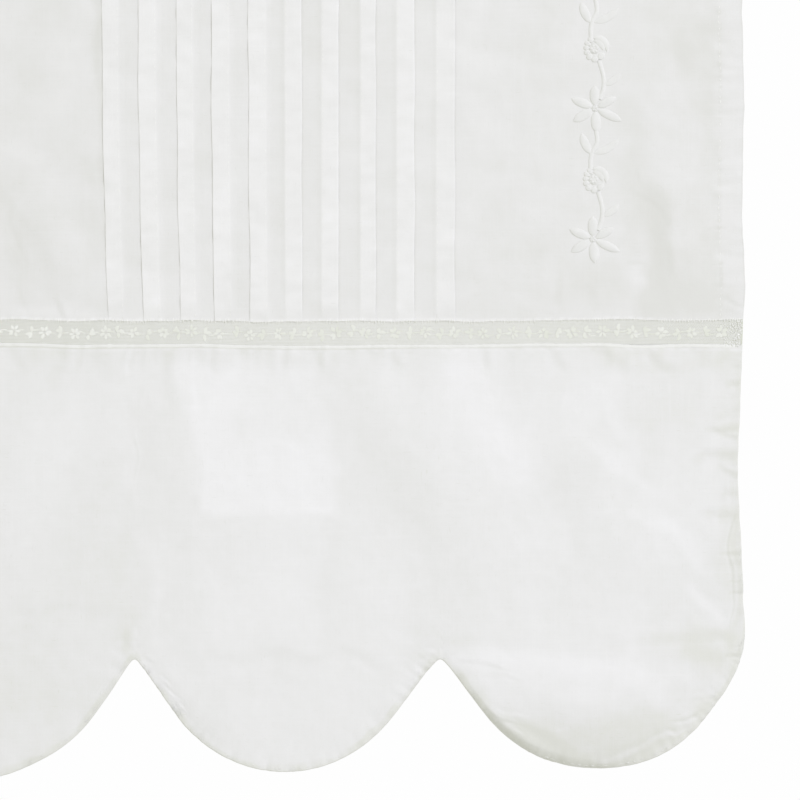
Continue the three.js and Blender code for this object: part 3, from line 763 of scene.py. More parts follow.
def tuck_section(width, shade):
    """A tuck pressed to the left, stitched at x = 0: points of x, y, place on the flap, whiteness."""
    radius = LAYER / 2
    fold = -width + radius
    beside = [(x - width, 0.0, 0.0, shade * share) for x, share in BESIDE_FLAP]
    root = [(x, y, 0.0, 0.0) for x, y in half_turn(-radius, 0, -LAYER, 1)]
    under = [(fold * t, -LAYER, t, UNDERSIDE_WHITENESS) for t in UNDERSIDE]
    edge = [(x, y, 1.0, FOLD_HIGHLIGHT_WHITENESS) for x, y in half_turn(fold, -LAYER, -2 * LAYER, -1)]
    over = [(fold * t, -2 * LAYER, t, FLAP_WHITENESS) for t in TOP_SIDE]
    down = [(x, -lift * LAYER, 0.0, FLAP_WHITENESS * white) for x, lift, white in TUCK_COMES_DOWN]
    return beside + root + under + edge + over + down


# %% Section of the panel
PLAIN_STEP = 1.5
HEM_WHITENESS = 0.18
# The fold of a side hem is painted darker than one layer, as painted shade.
PAINTED_FOLD_SHADE = -0.5
# How far in from the fold of a side hem its painted shade reaches and fades, and two points close to the
# fold.
FOLD_SHADE_END, FOLD_SHADE_FADE = 0.9, 0.6
BY_THE_FOLD = (0.2, 0.45)
HEM_FADE = 4.0
HEM_TO_PLAIN = 0.4
# The plain run starts a hair outside its end point, which is given by itself.
HAIR = 0.01
# Painted shade beside the folded edge of the tucks that are pressed to the left and to the right.
EDGE_SHADE = {-1: -0.05, 1: -0.9}
# The outermost tuck on the right is less white than the others.
FLAP_TONE = {9: 0.75}
NO_TUCK = (-1, 0)


def plain_run(x_from, x_to):
    count = int(math.ceil((x_to - x_from) / PLAIN_STEP))
    return [(x, 0.0, 0.0, 0.0, *NO_TUCK) for x in np.linspace(x_from, x_to, count + 1)[1:-1]]


def left_side_hem(fold, hem):
    """The hem turned to the back, its fold, and its front, from the raw edge round to the plain cloth."""
    points = [(-x, LAYER, 0.0, HEM_WHITENESS, *NO_TUCK) for x in np.linspace(hem, fold, 5)[:-1]]
    points += [(x, y, 0.0, PAINTED_FOLD_SHADE, *NO_TUCK) for x, y in half_turn(-fold, LAYER, 0, -1)]
    close = [-fold + step for step in BY_THE_FOLD]
    front = np.append(close, np.linspace(-fold + FOLD_SHADE_END, -hem, 11))
    shade = (PAINTED_FOLD_SHADE - HEM_WHITENESS) * ease((-fold + FOLD_SHADE_END - front) / FOLD_SHADE_FADE)
    front_white = HEM_WHITENESS * ease((-hem - front) / HEM_FADE) + shade
    return points + [(x, 0.0, 0.0, white, *NO_TUCK) for x, white in zip(front, front_white)]


def panel_section():
    """The whole section: x, y, place on a flap, whiteness, tuck number and the way the tuck is pressed."""
    hem = HALF_WIDTH - SIDE_HEM
    left_hem = left_side_hem(HALF_WIDTH - LAYER / 2, hem)
    right_hem = [(-point[0], *point[1:]) for point in left_hem][::-1]
    tucks = []
    for number, (stitch_x, way, width) in enumerate(TUCKS):
        shape = tuck_section(width, EDGE_SHADE[way])
        tone = FLAP_TONE.get(number, 1.0)
        points = [(stitch_x - way * x, y, flap, tone * white, number, way) for x, y, flap, white in shape]
        tucks += points if way < 0 else points[::-1]
    inner = hem - HEM_TO_PLAIN
    left_plain = plain_run(-inner - HAIR, tucks[0][0])
    right_plain = plain_run(tucks[-1][0], inner + HAIR)
    left_end, right_end = ((x, 0.0, 0.0, 0.0, *NO_TUCK) for x in (-inner, inner))
    return np.array(left_hem + [left_end] + left_plain + tucks + right_plain + [right_end] + right_hem)


section = panel_section()
print("section points:", len(section), "tucks:", len(TUCKS))

# %% Sewn side hems
HEM_STITCH_X = HALF_WIDTH - SIDE_HEM + 0.8
# How far the lumps of the sewing reach outwards and inwards, and how high the small and large ones are.
PUCKER_OUT, PUCKER_IN = 6.0, 2.0
SMALL_LUMPS, LARGE_LUMPS = 0.26, 0.24
NEEDLE_SHADE_WIDTH = 0.9


def hem_pucker(x, z):
    """Small lumps where the sewing draws up the side hem, reaching out to its fold."""
    reach = np.where(np.abs(x) > HEM_STITCH_X, PUCKER_OUT, PUCKER_IN)
    across = np.exp(-(((np.abs(x) - HEM_STITCH_X) / reach) ** 2))
    small = SMALL_LUMPS * crumple(z, 50 * np.sign(x), 5.5, 15, 12)
    large = LARGE_LUMPS * crumple(z, 50 * np.sign(x), 14, 16, 8)
    return across * (small + large)


def needle_hole_shade(x, z):
    """Specks of painted shade along the side hem, in the holes where the needle went in."""
    across = np.exp(-(((np.abs(x) - HEM_STITCH_X) / NEEDLE_SHADE_WIDTH) ** 2))
    return across * np.clip(crumple(z, 30 * np.sign(x), 3.2, 85, 12), 0, None)


# %% Whiteness of the panel
NEEDLE_SHADE_DEPTH = 1.1
# The rolled edge takes up cloth behind the foot of the panel, so a strip there is doubled.
FOOT_ALLOWANCE, FOOT_ALLOWANCE_WAVER = 3.4, 1.2
FOOT_DOUBLED, TOP_DOUBLED = 0.08, 0.4
RIM_WHITE, RIM_HEIGHT = 0.9, 1.9
# The white rim of the foot fades out towards the right side.
RIM_FADE_X, RIM_FADE_REACH, RIM_FADE_SHARE = 178, 14, 0.9
PRESSED, PRESSED_FLAP = 0.16, 0.26
FLAP_FOOT_DULL, FLAP_FOOT_HEIGHT = 0.7, 10


def panel_tone(x, z, white, flap):
    """Whiter in the hems and at the rim, uneven where pressed, duller at the tucks' foot, with painted shade
    and light.
    """
    allowance = FOOT_ALLOWANCE + FOOT_ALLOWANCE_WAVER * uneven(x, 18, 13, 10)
    rim = RIM_WHITE * np.clip(0.8 + 0.8 * uneven(x, 5, 33), 0, None)
    rim = rim * (1 - RIM_FADE_SHARE * ease((x - RIM_FADE_X) / RIM_FADE_REACH))
    doubled = FOOT_DOUBLED * ease((PANEL_FOOT + allowance - z) / 0.8 + 0.5) + TOP_DOUBLED * (z > -TOP_HEM)
    doubled = doubled + rim * ease((PANEL_FOOT + RIM_HEIGHT - z) / 1.2)
    pressed = PRESSED * crumple(0.5 * x, z, 15, 21, 14) + PRESSED * crumple(x, z, 34, 27, 14)
    pressed = pressed + PRESSED_FLAP * np.clip(white, 0, 1) * crumple(0.4 * x, z, 6.5, 22, 14)
    pressed = pressed - FLAP_FOOT_DULL * white * ease((PANEL_FOOT + FLAP_FOOT_HEIGHT - z) / 8)
    pressed = pressed - NEEDLE_SHADE_DEPTH * needle_hole_shade(x, z)
    return white + doubled + pressed + (1 - flap) * painted_light_and_shade(x, z)


# %% The sheet of the panel
# Rows of points are closest at the foot, close up to a height and wide above it.
FOOT_ROWS, FOOT_ROW, FOOT_TO_FINE = 8, 0.85, 1.3
FINE_ROW, FINE_BELOW, WIDE_ROW = 1.1, -216.0, 6.0
TOP_TURN, TOP_HEM_ROWS = -1.2, 10
HEM_GAP = 0.7
EDGE_WAVER = 0.22
EDGE_LIFT, EDGE_LIFT_MEAN, EDGE_LIFT_WAVER = 0.1, 0.7, 0.5
FLAP_PUCKER = 0.18
# The flaps are sewn flat at the foot, to this share, within this height.
FLAP_FOOT_FLAT, FLAT_HEIGHT = 0.5, 7


def tuck_waver(number, z, seed):
    return crumple(z, np.full_like(z, 40.0) * number, 48, seed, 10)


def panel_row_list():
    """The height of each row of points, and how far round the turn of the top hem it is."""
    foot_z = PANEL_FOOT + np.arange(FOOT_ROWS) * FOOT_ROW
    low_z = np.arange(foot_z[-1] + FOOT_TO_FINE, FINE_BELOW, FINE_ROW)
    high_z = np.linspace(FINE_BELOW, TOP_TURN, int((TOP_TURN - FINE_BELOW) / WIDE_ROW))
    rows = [(z, 0.0) for z in np.concatenate([foot_z, low_z, high_z])]
    rows += [(TOP_TURN, angle) for angle in np.linspace(0, np.pi, TURN_STEPS + 1)[1:]]
    return rows + [(z, np.pi) for z in np.linspace(TOP_TURN, -TOP_HEM, TOP_HEM_ROWS)[1:]]


def panel_points(rows):
    x, y, flap, white, number, way = section.T
    points, whiteness = [], []
    for row_z, angle in rows:
        z = np.full_like(x, row_z)
        waver = tuck_waver(number, z, 11) * EDGE_WAVER * flap
        lift = (EDGE_LIFT_MEAN + EDGE_LIFT_WAVER * tuck_waver(number, z, 17)) * EDGE_LIFT * flap**2
        lift += FLAP_PUCKER * flap * crumple(0.5 * x, z, 13, 25, 14)
        flat = 1 - FLAP_FOOT_FLAT * ease((PANEL_FOOT + FLAT_HEIGHT - z) / FLAT_HEIGHT) * (number >= 0)
        front_y = flat * y + hem_pucker(x, z) - flat * lift * math.cos(angle / 2)
        back_y = HEM_GAP - y
        turn_y = (front_y + back_y) / 2 + (front_y - back_y) / 2 * math.cos(angle)
        turn_z = z + np.abs(back_y - front_y) / 2 * math.sin(angle)
        points.append(np.column_stack([x + way * waver, turn_y, turn_z]))
        whiteness.append(panel_tone(x, z, white, flap))
    return np.vstack(points), np.concatenate(whiteness)


panel_rows = panel_row_list()
points, panel_whiteness = panel_points(panel_rows)
faces = grid_faces(len(panel_rows), len(section))
panel = make_piece("panel_cloth", drape(points), faces, panel_cotton, panel_whiteness)
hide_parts("tucked_panel")
PANEL_CUT = (
    (2 * (HALF_WIDTH + SIDE_HEM) + 2 * len(TUCKS) * TUCK_WIDTH) * MM,
    (TOP_HEM - PANEL_FOOT) * MM,
)

# %% [markdown]
# ## Thread
# Sewing and embroidery are made of the same thing, soft cotton thread, so one way of making it serves: a
# band that follows a line, an open arch whose two sides go a little into the cloth. Short ones, drawn to a
# point at both ends, are stitches. Wide ones with ridges across them are satin stitch, where the thread goes
# back and forth. A closed tube would spend half its faces on an underside that nobody sees.

# %% Thread material
# Scale of the noise for each axis: broad changes of tone and single fibres.
THREAD_TONE, THREAD_FIBRE = (260, 260, 260), (2600, 2600, 2600)
FIBRE_BUMP = (0.05, 0.4)
THREAD_ROUGH, THREAD_SHINE, THREAD_SHEEN = 0.72, 0.3, 0.1


def thread_material(name, colour_low, colour_high):
    material, nodes, links, shader = new_material(name)
    soft = object_noise(nodes, links, THREAD_TONE, 2)
    colour = tones(nodes, links, soft, [(0.3, colour_low), (0.7, colour_high)])
    links.new(colour, shader.inputs["Base Color"])
    fibre = object_noise(nodes, links, THREAD_FIBRE, 2)
    links.new(add_bump(nodes, links, fibre, *FIBRE_BUMP), shader.inputs["Normal"])
    shader.inputs["Roughness"].default_value = THREAD_ROUGH
    shader.inputs["Specular IOR Level"].default_value = THREAD_SHINE
    shader.inputs["Sheen Weight"].default_value = THREAD_SHEEN
    return material


thread = thread_material("embroidery_thread", (0.816, 0.820, 0.784), (0.845, 0.848, 0.814))
white_thread = thread_material("white_thread", (0.90, 0.906, 0.85), (0.93, 0.935, 0.885))
print("materials:", thread.name, white_thread.name)

# %% Bands of thread
ARCH_FULLNESS = 0.7
SUNK = -0.15


def band_arch(count, crest):
    """Section of a band: an arch with a share of crest, whose sides go a little into the cloth."""
    angle = np.linspace(0, np.pi, count)
    across = np.cos(angle)
    up = (1 - crest) * np.clip(np.sin(angle), 0, 1) ** ARCH_FULLNESS + crest * (1 - np.abs(across))
    return np.vstack([[1, SUNK], np.column_stack([across, up]), [-1, SUNK]])


WIDE_ARCH = band_arch(9, 0.3)
FINE_ARCH = band_arch(5, 0.0)


def line_directions(line):
    """The way that a line of points runs at each of them."""
    along = np.gradient(line, axis=0)
    return along / np.linalg.norm(along, axis=1, keepdims=True)


def thread_band(line, width, height, base_y, ridges=None, arch=WIDE_ARCH):
    """A padded band along a line of x, z points. Width, height and base may change along it."""
    count, around = len(line), len(arch)
    width, height, base_y = (
        np.broadcast_to(np.asarray(values, float), count) for values in (width, height, base_y)
    )
    along = line_directions(line)
    out = np.broadcast_to(arch[:, 1], (count, around))
    if ridges is not None:
        out = out * (1 + ridges)
    shift = arch[None, :, 0] * width[:, None] / 2
    x = line[:, 0:1] - along[:, 1:2] * shift
    z = line[:, 1:2] + along[:, 0:1] * shift
    y = base_y[:, None] - out * height[:, None]
    points = np.stack([x, y, z], axis=2).reshape(-1, 3)
    return points, grid_faces(count, around)


# %% Stitches
STITCH_SWELL = np.array([0.05, 0.85, 1.0, 0.85, 0.05])
# Sewing is uneven: how far a stitch shifts in its gap, its length and its thickness, and how many sink.
STITCH_SHIFT = 0.15
STITCH_LENGTHS, STITCH_THICKNESSES = (0.6, 1.2), (0.5, 1.1)
SUNK_SHARE = 0.22
stitch_draw = np.random.default_rng(83)


def one_stitch(start, end, width, height, base_y):
    line = np.linspace(start, end, len(STITCH_SWELL))
    return thread_band(line, width * STITCH_SWELL, height * STITCH_SWELL, base_y, None, FINE_ARCH)


def stitches(line, length, gap, width, height, base_y):
    """A row of running stitches along a line of x, z points. Some sink into the cloth and don't show."""
    steps = np.linalg.norm(np.diff(line, axis=0), axis=1)
    travel = np.concatenate([[0], np.cumsum(steps)])
    base_y = np.broadcast_to(base_y, len(line))
    parts = []
    for start in np.arange(gap / 2, travel[-1] - length, length + gap):
        start = start + stitch_draw.normal(0, STITCH_SHIFT * gap)
        end = start + length * stitch_draw.uniform(*STITCH_LENGTHS)
        thick = stitch_draw.uniform(*STITCH_THICKNESSES)
        if stitch_draw.random() < SUNK_SHARE:
            continue
        ends = [np.array([np.interp(at, travel, line[:, k]) for k in (0, 1)]) for at in (start, end)]
        base = np.interp((start + end) / 2, travel, base_y)
        parts.append(one_stitch(ends[0], ends[1], thick * width, thick * height, base))
    return parts


# %% [markdown]
# ## Sewing on the panel
# Each tuck is held by a row of small stitches along its root, and the side hems by a row along their raw
# edge. They are less than half a millimetre wide, yet they make the dotted lines that tell sewn cloth from
# folded paper.

# %% Tuck and hem stitching
STITCH_LENGTH, STITCH_GAP = 1.7, 1.1
TUCK_STITCH = (0.3, 0.1)
HEM_STITCH = (0.42, 0.12)
ROOT_INSET = 0.5
HEM_LINE_WAVER = 0.35
SEWN_FROM, SEWN_TO = PANEL_FOOT + 1, -1
panel_stitches = []
root_z = np.linspace(SEWN_FROM, SEWN_TO, 60)
for stitch_x, way, _ in TUCKS:
    root_line = np.column_stack([np.full_like(root_z, stitch_x + way * ROOT_INSET), root_z])
    panel_stitches += stitches(root_line, STITCH_LENGTH, STITCH_GAP, *TUCK_STITCH, -2 * LAYER)
hem_z = np.linspace(SEWN_FROM, SEWN_TO, 300)
hem_x = HEM_STITCH_X + HEM_LINE_WAVER * uneven(hem_z, 7, 87)
for side in (-1, 1):
    hem_line = np.column_stack([side * hem_x, hem_z])
    lies_at = hem_pucker(hem_line[:, 0], hem_line[:, 1])
    panel_stitches += stitches(hem_line, STITCH_LENGTH, STITCH_GAP, *HEM_STITCH, lies_at)
print("stitches on the panel:", len(panel_stitches))

# %% [markdown]
# ## Rolled edge of the panel
# The panel ends in a narrow rolled edge that is whipped to the lace with small slanting stitches. It is
# lumpy, and it throws the thin dark line on the net below it.

# %% Rolled edge
ROLL_COLUMNS, ROLL_SIDES = 900, 8
ROLL_THICK, ROLL_LUMPS = 0.12, 0.04
ROLL_Y, ROLL_ABOVE_FOOT = 0.04, 0.2
# Over a tuck the roll stands forward and is thicker from front to back.
ROLL_FORWARD, ROLL_THICKER = 0.09, 0.1
ROLL_WHITENESS = 0.5
ROLL_MARGIN, ROLL_BROAD, ROLL_WAVER = 0.5, 0.6, 0.3


def over_tucks(x):
    """1 where a tuck's flap lies, 0 beside it."""
    cover = np.zeros_like(x)
    for stitch_x, way, width in TUCKS:
        across = (x - stitch_x) * way
        cover = np.maximum(cover, ease((across + 1.0) / 1.2) * ease((width + 0.3 - across) / 0.5))
    return cover


def rolled_edge():
    x = np.linspace(-HALF_WIDTH + ROLL_MARGIN, HALF_WIDTH - ROLL_MARGIN, ROLL_COLUMNS)
    lumps = uneven(x, 3.2, 23, 16) + ROLL_BROAD * uneven(x, 11, 29)
    middle = PANEL_FOOT + ROLL_ABOVE_FOOT + ROLL_WAVER * uneven(x, 14, 31)
    cover = over_tucks(x)
    angle = np.linspace(0, 2 * np.pi, ROLL_SIDES + 1)[:-1]
    thick = ROLL_THICK + ROLL_LUMPS * lumps
    deep = thick + ROLL_THICKER * cover
    ring_y = (ROLL_Y - ROLL_FORWARD * cover)[:, None] + deep[:, None] * np.cos(angle)[None, :]
    ring_z = middle[:, None] + thick[:, None] * np.sin(angle)[None, :]
    ring_x = np.broadcast_to(x[:, None], ring_y.shape)
    points = np.stack([ring_x, ring_y, ring_z], axis=2).reshape(-1, 3)
    ring = np.arange(ROLL_SIDES)
    faces = []
    for i in range(len(x) - 1):
        a, b = i * ROLL_SIDES + ring, i * ROLL_SIDES + (ring + 1) % ROLL_SIDES
        faces.append(np.column_stack([a, a + ROLL_SIDES, b + ROLL_SIDES, b]))
    return points, np.vstack(faces)


points, faces = rolled_edge()
edge_whiteness = np.full(len(points), ROLL_WHITENESS)
panel_edge = make_piece("panel_rolled_edge", drape(points), faces, cotton, edge_whiteness)

# %% Whipping over the rolled edge
WHIP_STEP, WHIP_MARGIN = 1.35, 1.5
WHIP_WIDTH, WHIP_HEIGHT = 0.5, 0.16
WHIP_Y, WHIP_Y_OVER_TUCKS = -0.02, 0.16
# How far a stitch is off its place, how far it slants on average and by chance, and its reach down and up.
WHIP_SHIFT, WHIP_SLANT = 0.25, (0.5, 0.4)
WHIP_DOWN, WHIP_UP = (0.2, 1.3), (0.4, 1.3)
draw = np.random.default_rng(19)
for x in np.arange(-HALF_WIDTH + WHIP_MARGIN, HALF_WIDTH - WHIP_MARGIN, WHIP_STEP):
    x = x + draw.normal(0, WHIP_SHIFT)
    foot = np.array([x, PANEL_FOOT - draw.uniform(*WHIP_DOWN)])
    head = np.array([x + draw.normal(*WHIP_SLANT), PANEL_FOOT + draw.uniform(*WHIP_UP)])
    lies_at = WHIP_Y - WHIP_Y_OVER_TUCKS * float(over_tucks(np.array([x]))[0])
    panel_stitches.append(one_stitch(foot, head, WHIP_WIDTH, WHIP_HEIGHT, lies_at))
points, faces = joined(panel_stitches)
panel_sewing = make_piece("panel_stitching", drape(points), faces, white_thread)

# %% [markdown]
# ## Lace insertion
# The lace is a fine net with small flowers and sprigs worked on it. The net is made as a sheet of six-sided
# meshes with real holes: each mesh is a ring of six flat strands, raised along the middle so that they
# catch the light as thread does. Its finest threads are thinner than any mesh should be, and a nearly
# clear sheet behind the net stands for those. Its colour is painted shade, the shade of the room seen behind
# the net.

# %% Net
LACE_UNDER_PANEL = 3.0
LACE_HEAD = PANEL_FOOT + LACE_UNDER_PANEL
LACE_Y = 0.27
NET_PITCH = 0.82
NET_STRAND = 0.22
NET_RELIEF = 0.08
NET_MARGIN = 0.5
# Middle of the first mesh, from the left side and from the foot of the lace.
FIRST_MESH_X, FIRST_MESH_Z = 0.7, 0.3


def net_sheet():
    row_step = NET_PITCH * math.sqrt(3) / 2
    rows = int((LACE_HEAD - LACE_FOOT) / row_step)
    columns = int(2 * (HALF_WIDTH - NET_MARGIN) / NET_PITCH)
    row, column = np.meshgrid(np.arange(rows), np.arange(columns), indexing="ij")
    centre_x = -HALF_WIDTH + FIRST_MESH_X + NET_PITCH * (column + 0.5 * (row % 2))
    centre_z = LACE_FOOT + FIRST_MESH_Z + row_step * row
    corner = np.radians(np.arange(6) * 60 + 30)
    outer = NET_PITCH / math.sqrt(3)
    inner = outer * (1 - NET_STRAND / NET_PITCH)

    def corners(radius):
        x = centre_x.ravel()[:, None] + radius * np.cos(corner)
        z = centre_z.ravel()[:, None] + radius * np.sin(corner)
        return x.ravel(), z.ravel()

    keys = np.round(np.column_stack(corners(outer)), 2)
    shared, which = np.unique(keys, axis=0, return_inverse=True)
    which = which.reshape(-1, 6)
    inner_x, inner_z = corners(inner)
    raised = np.column_stack([shared[:, 0], np.full(len(shared), LACE_Y - NET_RELIEF), shared[:, 1]])
    rim = np.column_stack([inner_x, np.full(len(inner_x), LACE_Y), inner_z])
    first_rim = len(shared)
    hole = first_rim + np.arange(len(rim)).reshape(-1, 6)
    faces = []
    for k in range(6):
        after = (k + 1) % 6
        faces.append(np.column_stack([which[:, k], which[:, after], hole[:, after], hole[:, k]]))
    return np.vstack([raised, rim]), np.vstack(faces)


# %% Net materials
LACE_TONE, LACE_FIBRE = (90, 90, 90), (2200, 2200, 2200)
LACE_ROUGH, LACE_SHINE = 0.9, 0.2


def lace_material(name, colour_low, colour_high, alpha=1.0, by_whiteness=False):
    material, nodes, links, shader = new_material(name)
    if by_whiteness:
        share = nodes.new("ShaderNodeAttribute")
        share.attribute_name = "whiteness"
        colour = tones(nodes, links, share.outputs["Fac"], [(0, colour_low), (1, colour_high)])
    else:
        soft = object_noise(nodes, links, LACE_TONE, 3)
        colour = tones(nodes, links, soft, [(0.3, colour_low), (0.7, colour_high)])
    links.new(colour, shader.inputs["Base Color"])
    fibre = object_noise(nodes, links, LACE_FIBRE, 2)
    links.new(add_bump(nodes, links, fibre, *FIBRE_BUMP), shader.inputs["Normal"])
    shader.inputs["Roughness"].default_value = LACE_ROUGH
    shader.inputs["Specular IOR Level"].default_value = LACE_SHINE
    shader.inputs["Alpha"].default_value = alpha
    return material


net_thread = lace_material("net_thread", (0.85, 0.85, 0.835), (0.88, 0.88, 0.865))
# The ground's colours are painted shade: olive grey where the shade is deepest, pale where it is light.
shaded_net_ground = lace_material(
    "shaded_net_ground", (0.52, 0.545, 0.43), (0.90, 0.905, 0.87), alpha=0.5, by_whiteness=True
)
flower_thread = lace_material(
    "flower_thread", (0.77, 0.79, 0.69), (0.905, 0.912, 0.865), by_whiteness=True
)
heading_thread = lace_material("heading_thread", (0.875, 0.882, 0.835), (0.90, 0.906, 0.863))
points, faces = net_sheet()
lace_net = make_piece("lace_net", drape(points), faces, net_thread)
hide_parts("lace_insertion")

# %% Ground of the net
GROUND_COLUMNS, GROUND_ROWS = 220, 12
GROUND_MARGIN, GROUND_BEHIND = 0.2, 0.12
# The painted shade behind the net is deeper towards both sides of the curtain.
NET_X = [-225, -130, -50, 40, 110, 190, 225]
NET_LIGHT = [0.40, 0.43, 0.69, 0.85, 0.80, 0.57, 0.50]
NET_MOTTLE = 0.06
ground_x = np.linspace(-HALF_WIDTH + GROUND_MARGIN, HALF_WIDTH - GROUND_MARGIN, GROUND_COLUMNS)
ground_z = np.linspace(LACE_FOOT, LACE_HEAD, GROUND_ROWS)
grid_z, grid_x = (grid.ravel() for grid in np.meshgrid(ground_z, ground_x, indexing="ij"))
points = np.column_stack([grid_x, np.full(grid_x.size, LACE_Y + GROUND_BEHIND), grid_z])
net_light = eased(grid_x, NET_X, NET_LIGHT) + NET_MOTTLE * crumple(grid_x, grid_z, 12, 35)
faces = grid_faces(GROUND_ROWS, GROUND_COLUMNS)
shaded_lace_ground = make_piece("shaded_lace_ground", drape(points), faces, shaded_net_ground, net_light)

# %% [markdown]
# ## Flowers on the lace
# Along the middle of the net runs a row of small flowers, with a curled leaf between each pair. Each petal
# is a short band of thread. No two are alike, so each is turned and sized a little differently, by a
# seeded draw that comes out the same every time.

# %% Lace flowers
FLOWER_STEP = 14.6
FIRST_FLOWER = -209.3
FLOWER_RELIEF = 0.03
FLOWER_Y = LACE_Y - 0.1
FLOWER_Z = (PANEL_FOOT + LACE_FOOT) / 2 + 0.2
# The flowers look whiter towards the left, where the net behind them is darker.
FLOWER_X = [-225, -130, -60, 40, 225]
FLOWER_LIGHT = [0.84, 0.74, 0.50, 0.40, 0.35]
FLOWER_MOTTLE = 0.2
POINTED = 0.03


def lens(count, power):
    """How wide a leaf is along its length, drawn to a point at both ends."""
    t = np.linspace(-1, 1, count)
    return np.clip(1 - np.abs(t) ** power, POINTED, None)


def bent_line(root, tip, bend, count):
    """A line from root to tip that bows to one side by a share of its length."""
    t = np.linspace(0, 1, count)[:, None]
    across = np.array([-(tip - root)[1], (tip - root)[0]])
    return root + (tip - root) * t + across * bend * np.sin(np.pi * t)


def flat_leaf(root, tip, width, bend=0.0, count=9):
    """A thin leaf that lies on the net, a little raised along its middle."""
    line = bent_line(root, tip, bend, count)
    along = line_directions(line)
    half = np.column_stack([-along[:, 1], along[:, 0]]) * (width / 2 * lens(count, 2.0))[:, None]
    rails = [line - half, line, line + half]
    depth = [FLOWER_Y, FLOWER_Y - FLOWER_RELIEF, FLOWER_Y]
    sides = [np.column_stack([rail[:, 0], np.full(count, y), rail[:, 1]]) for rail, y in zip(rails, depth)]
    return np.vstack(sides), grid_faces(3, count)


def direction(degrees):
    turn = math.radians(degrees)
    return np.array([math.cos(turn), math.sin(turn)])


# %% Rows of lace flowers
# How far a petal is turned by chance, where it starts, its least and most reach and width.
LACE_PETAL_TURN, LACE_PETAL_ROOT = 9, 0.5
LACE_PETAL_REACH, LACE_PETAL_WIDTH = (2.6, 3.9), (1.2, 1.9)
# The same for the leaves of a sprig, and how far its outer leaves spread.
SPRIG_TURN, SPRIG_REACH, SPRIG_WIDTH, SPRIG_BEND = 12, (2.6, 4.0), 1.8, (-0.3, 0.3)
SPRIG_SPREAD = 70
LACE_STEM_WIDTH, LACE_STEM_BEND, LACE_STEM_SHORT = 0.6, (-0.25, 0.25), 2.0
# How far a motif and the end of a stem are off their places by chance.
MOTIF_SHIFT_X, MOTIF_SHIFT_Z, STEM_SHIFT_Z = 0.3, 0.35, 0.5
FLOWERS_END = HALF_WIDTH - 5


def lace_flower(middle, draw):
    """Six petals round a middle."""
    petals = []
    first = draw.uniform(0, 60)
    for petal in range(6):
        way = direction(first + 60 * petal + draw.normal(0, LACE_PETAL_TURN))
        reach = draw.uniform(*LACE_PETAL_REACH)
        root, tip = middle + LACE_PETAL_ROOT * way, middle + reach * way
        petals.append(flat_leaf(root, tip, draw.uniform(*LACE_PETAL_WIDTH)))
    return petals


def lace_sprig(middle, draw):
    """Three curled leaves that point to the left or to the right."""
    leaves = []
    points_to = 180 * draw.integers(0, 2)
    root = middle - np.array([math.cos(math.radians(points_to)), 0.0])
    for spread in (-SPRIG_SPREAD, 0, SPRIG_SPREAD):
        way = direction(points_to + spread + draw.normal(0, SPRIG_TURN))
        tip = root + draw.uniform(*SPRIG_REACH) * way
        leaves.append(flat_leaf(root, tip, SPRIG_WIDTH, draw.uniform(*SPRIG_BEND)))
    return leaves


def lace_flowers():
    draw = np.random.default_rng(41)
    parts = []
    places = np.arange(FIRST_FLOWER, FLOWERS_END, FLOWER_STEP / 2)
    for number, x in enumerate(places):
        middle_x = x + draw.normal(0, MOTIF_SHIFT_X)
        middle = np.array([middle_x, FLOWER_Z + draw.normal(0, MOTIF_SHIFT_Z)])
        motif = lace_flower if number % 2 == 0 else lace_sprig
        parts += motif(middle, draw)
        if number < len(places) - 1:
            stem_x = x + FLOWER_STEP / 2 - LACE_STEM_SHORT
            stem_to = np.array([stem_x, FLOWER_Z + draw.normal(0, STEM_SHIFT_Z)])
            parts.append(flat_leaf(middle, stem_to, LACE_STEM_WIDTH, draw.uniform(*LACE_STEM_BEND)))
    return joined(parts)


points, faces = lace_flowers()
flower_light = eased(points[:, 0], FLOWER_X, FLOWER_LIGHT)
flower_light += FLOWER_MOTTLE * crumple(points[:, 0], points[:, 2], 9, 45)
lace_flower_piece = make_piece(
    "lace_flowers", drape(points), faces, flower_thread, flower_light
)

# %% [markdown]
# ## Headings of the lace
# At its foot the lace has a firm corded edge, which is sewn over the top of the flounce. At each end the
# net is turned in and overcast, which leaves a small dense patch.

# %% Corded foot of the lace
CORD_WIDTH, CORD_HEIGHT = 1.5, 0.08
CORD_LUMPS, CORD_WAVER = 0.18, 0.2
CORD_MARGIN, CORD_POINTS = 0.4, 700
# The cord dips where the flounce pulls it down: place, reach to each side and depth.
CORD_DIP = (175, 26, 0.6)
# Rails along the cord: place across in widths, height as a share.
CORD_RAILS = [(-0.5, 0.0), (-0.3, 0.8), (0.0, 1.0), (0.3, 0.8), (0.5, 0.0)]


def corded_edge(z, y, seed):
    """A flat cord along the lace: five rails side by side, highest in the middle."""
    x = np.linspace(-HALF_WIDTH + CORD_MARGIN, HALF_WIDTH - CORD_MARGIN, CORD_POINTS)
    lumps = 1 + CORD_LUMPS * uneven(x, 2.6, seed, 16)
    dip_x, dip_reach, dip = CORD_DIP
    middle = z + CORD_WAVER * uneven(x, 22, seed + 1, 10) - dip * bump((x - dip_x) / dip_reach)
    rails = []
    for across, up in CORD_RAILS:
        rail_y, rail_z = y - CORD_HEIGHT * lumps * up, middle + across * CORD_WIDTH * lumps
        rails.append(np.column_stack([x, rail_y, rail_z]))
    return np.vstack(rails), grid_faces(len(CORD_RAILS), len(x))


# %% Overcast ends of the lace
OVERCAST_STITCHES = 90
OVERCAST_WIDTH, OVERCAST_HEIGHT = 0.45, 0.25
OVERCAST_FROM, OVERCAST_SPREAD, OVERCAST_REACH = 0.6, 4.0, 14.0
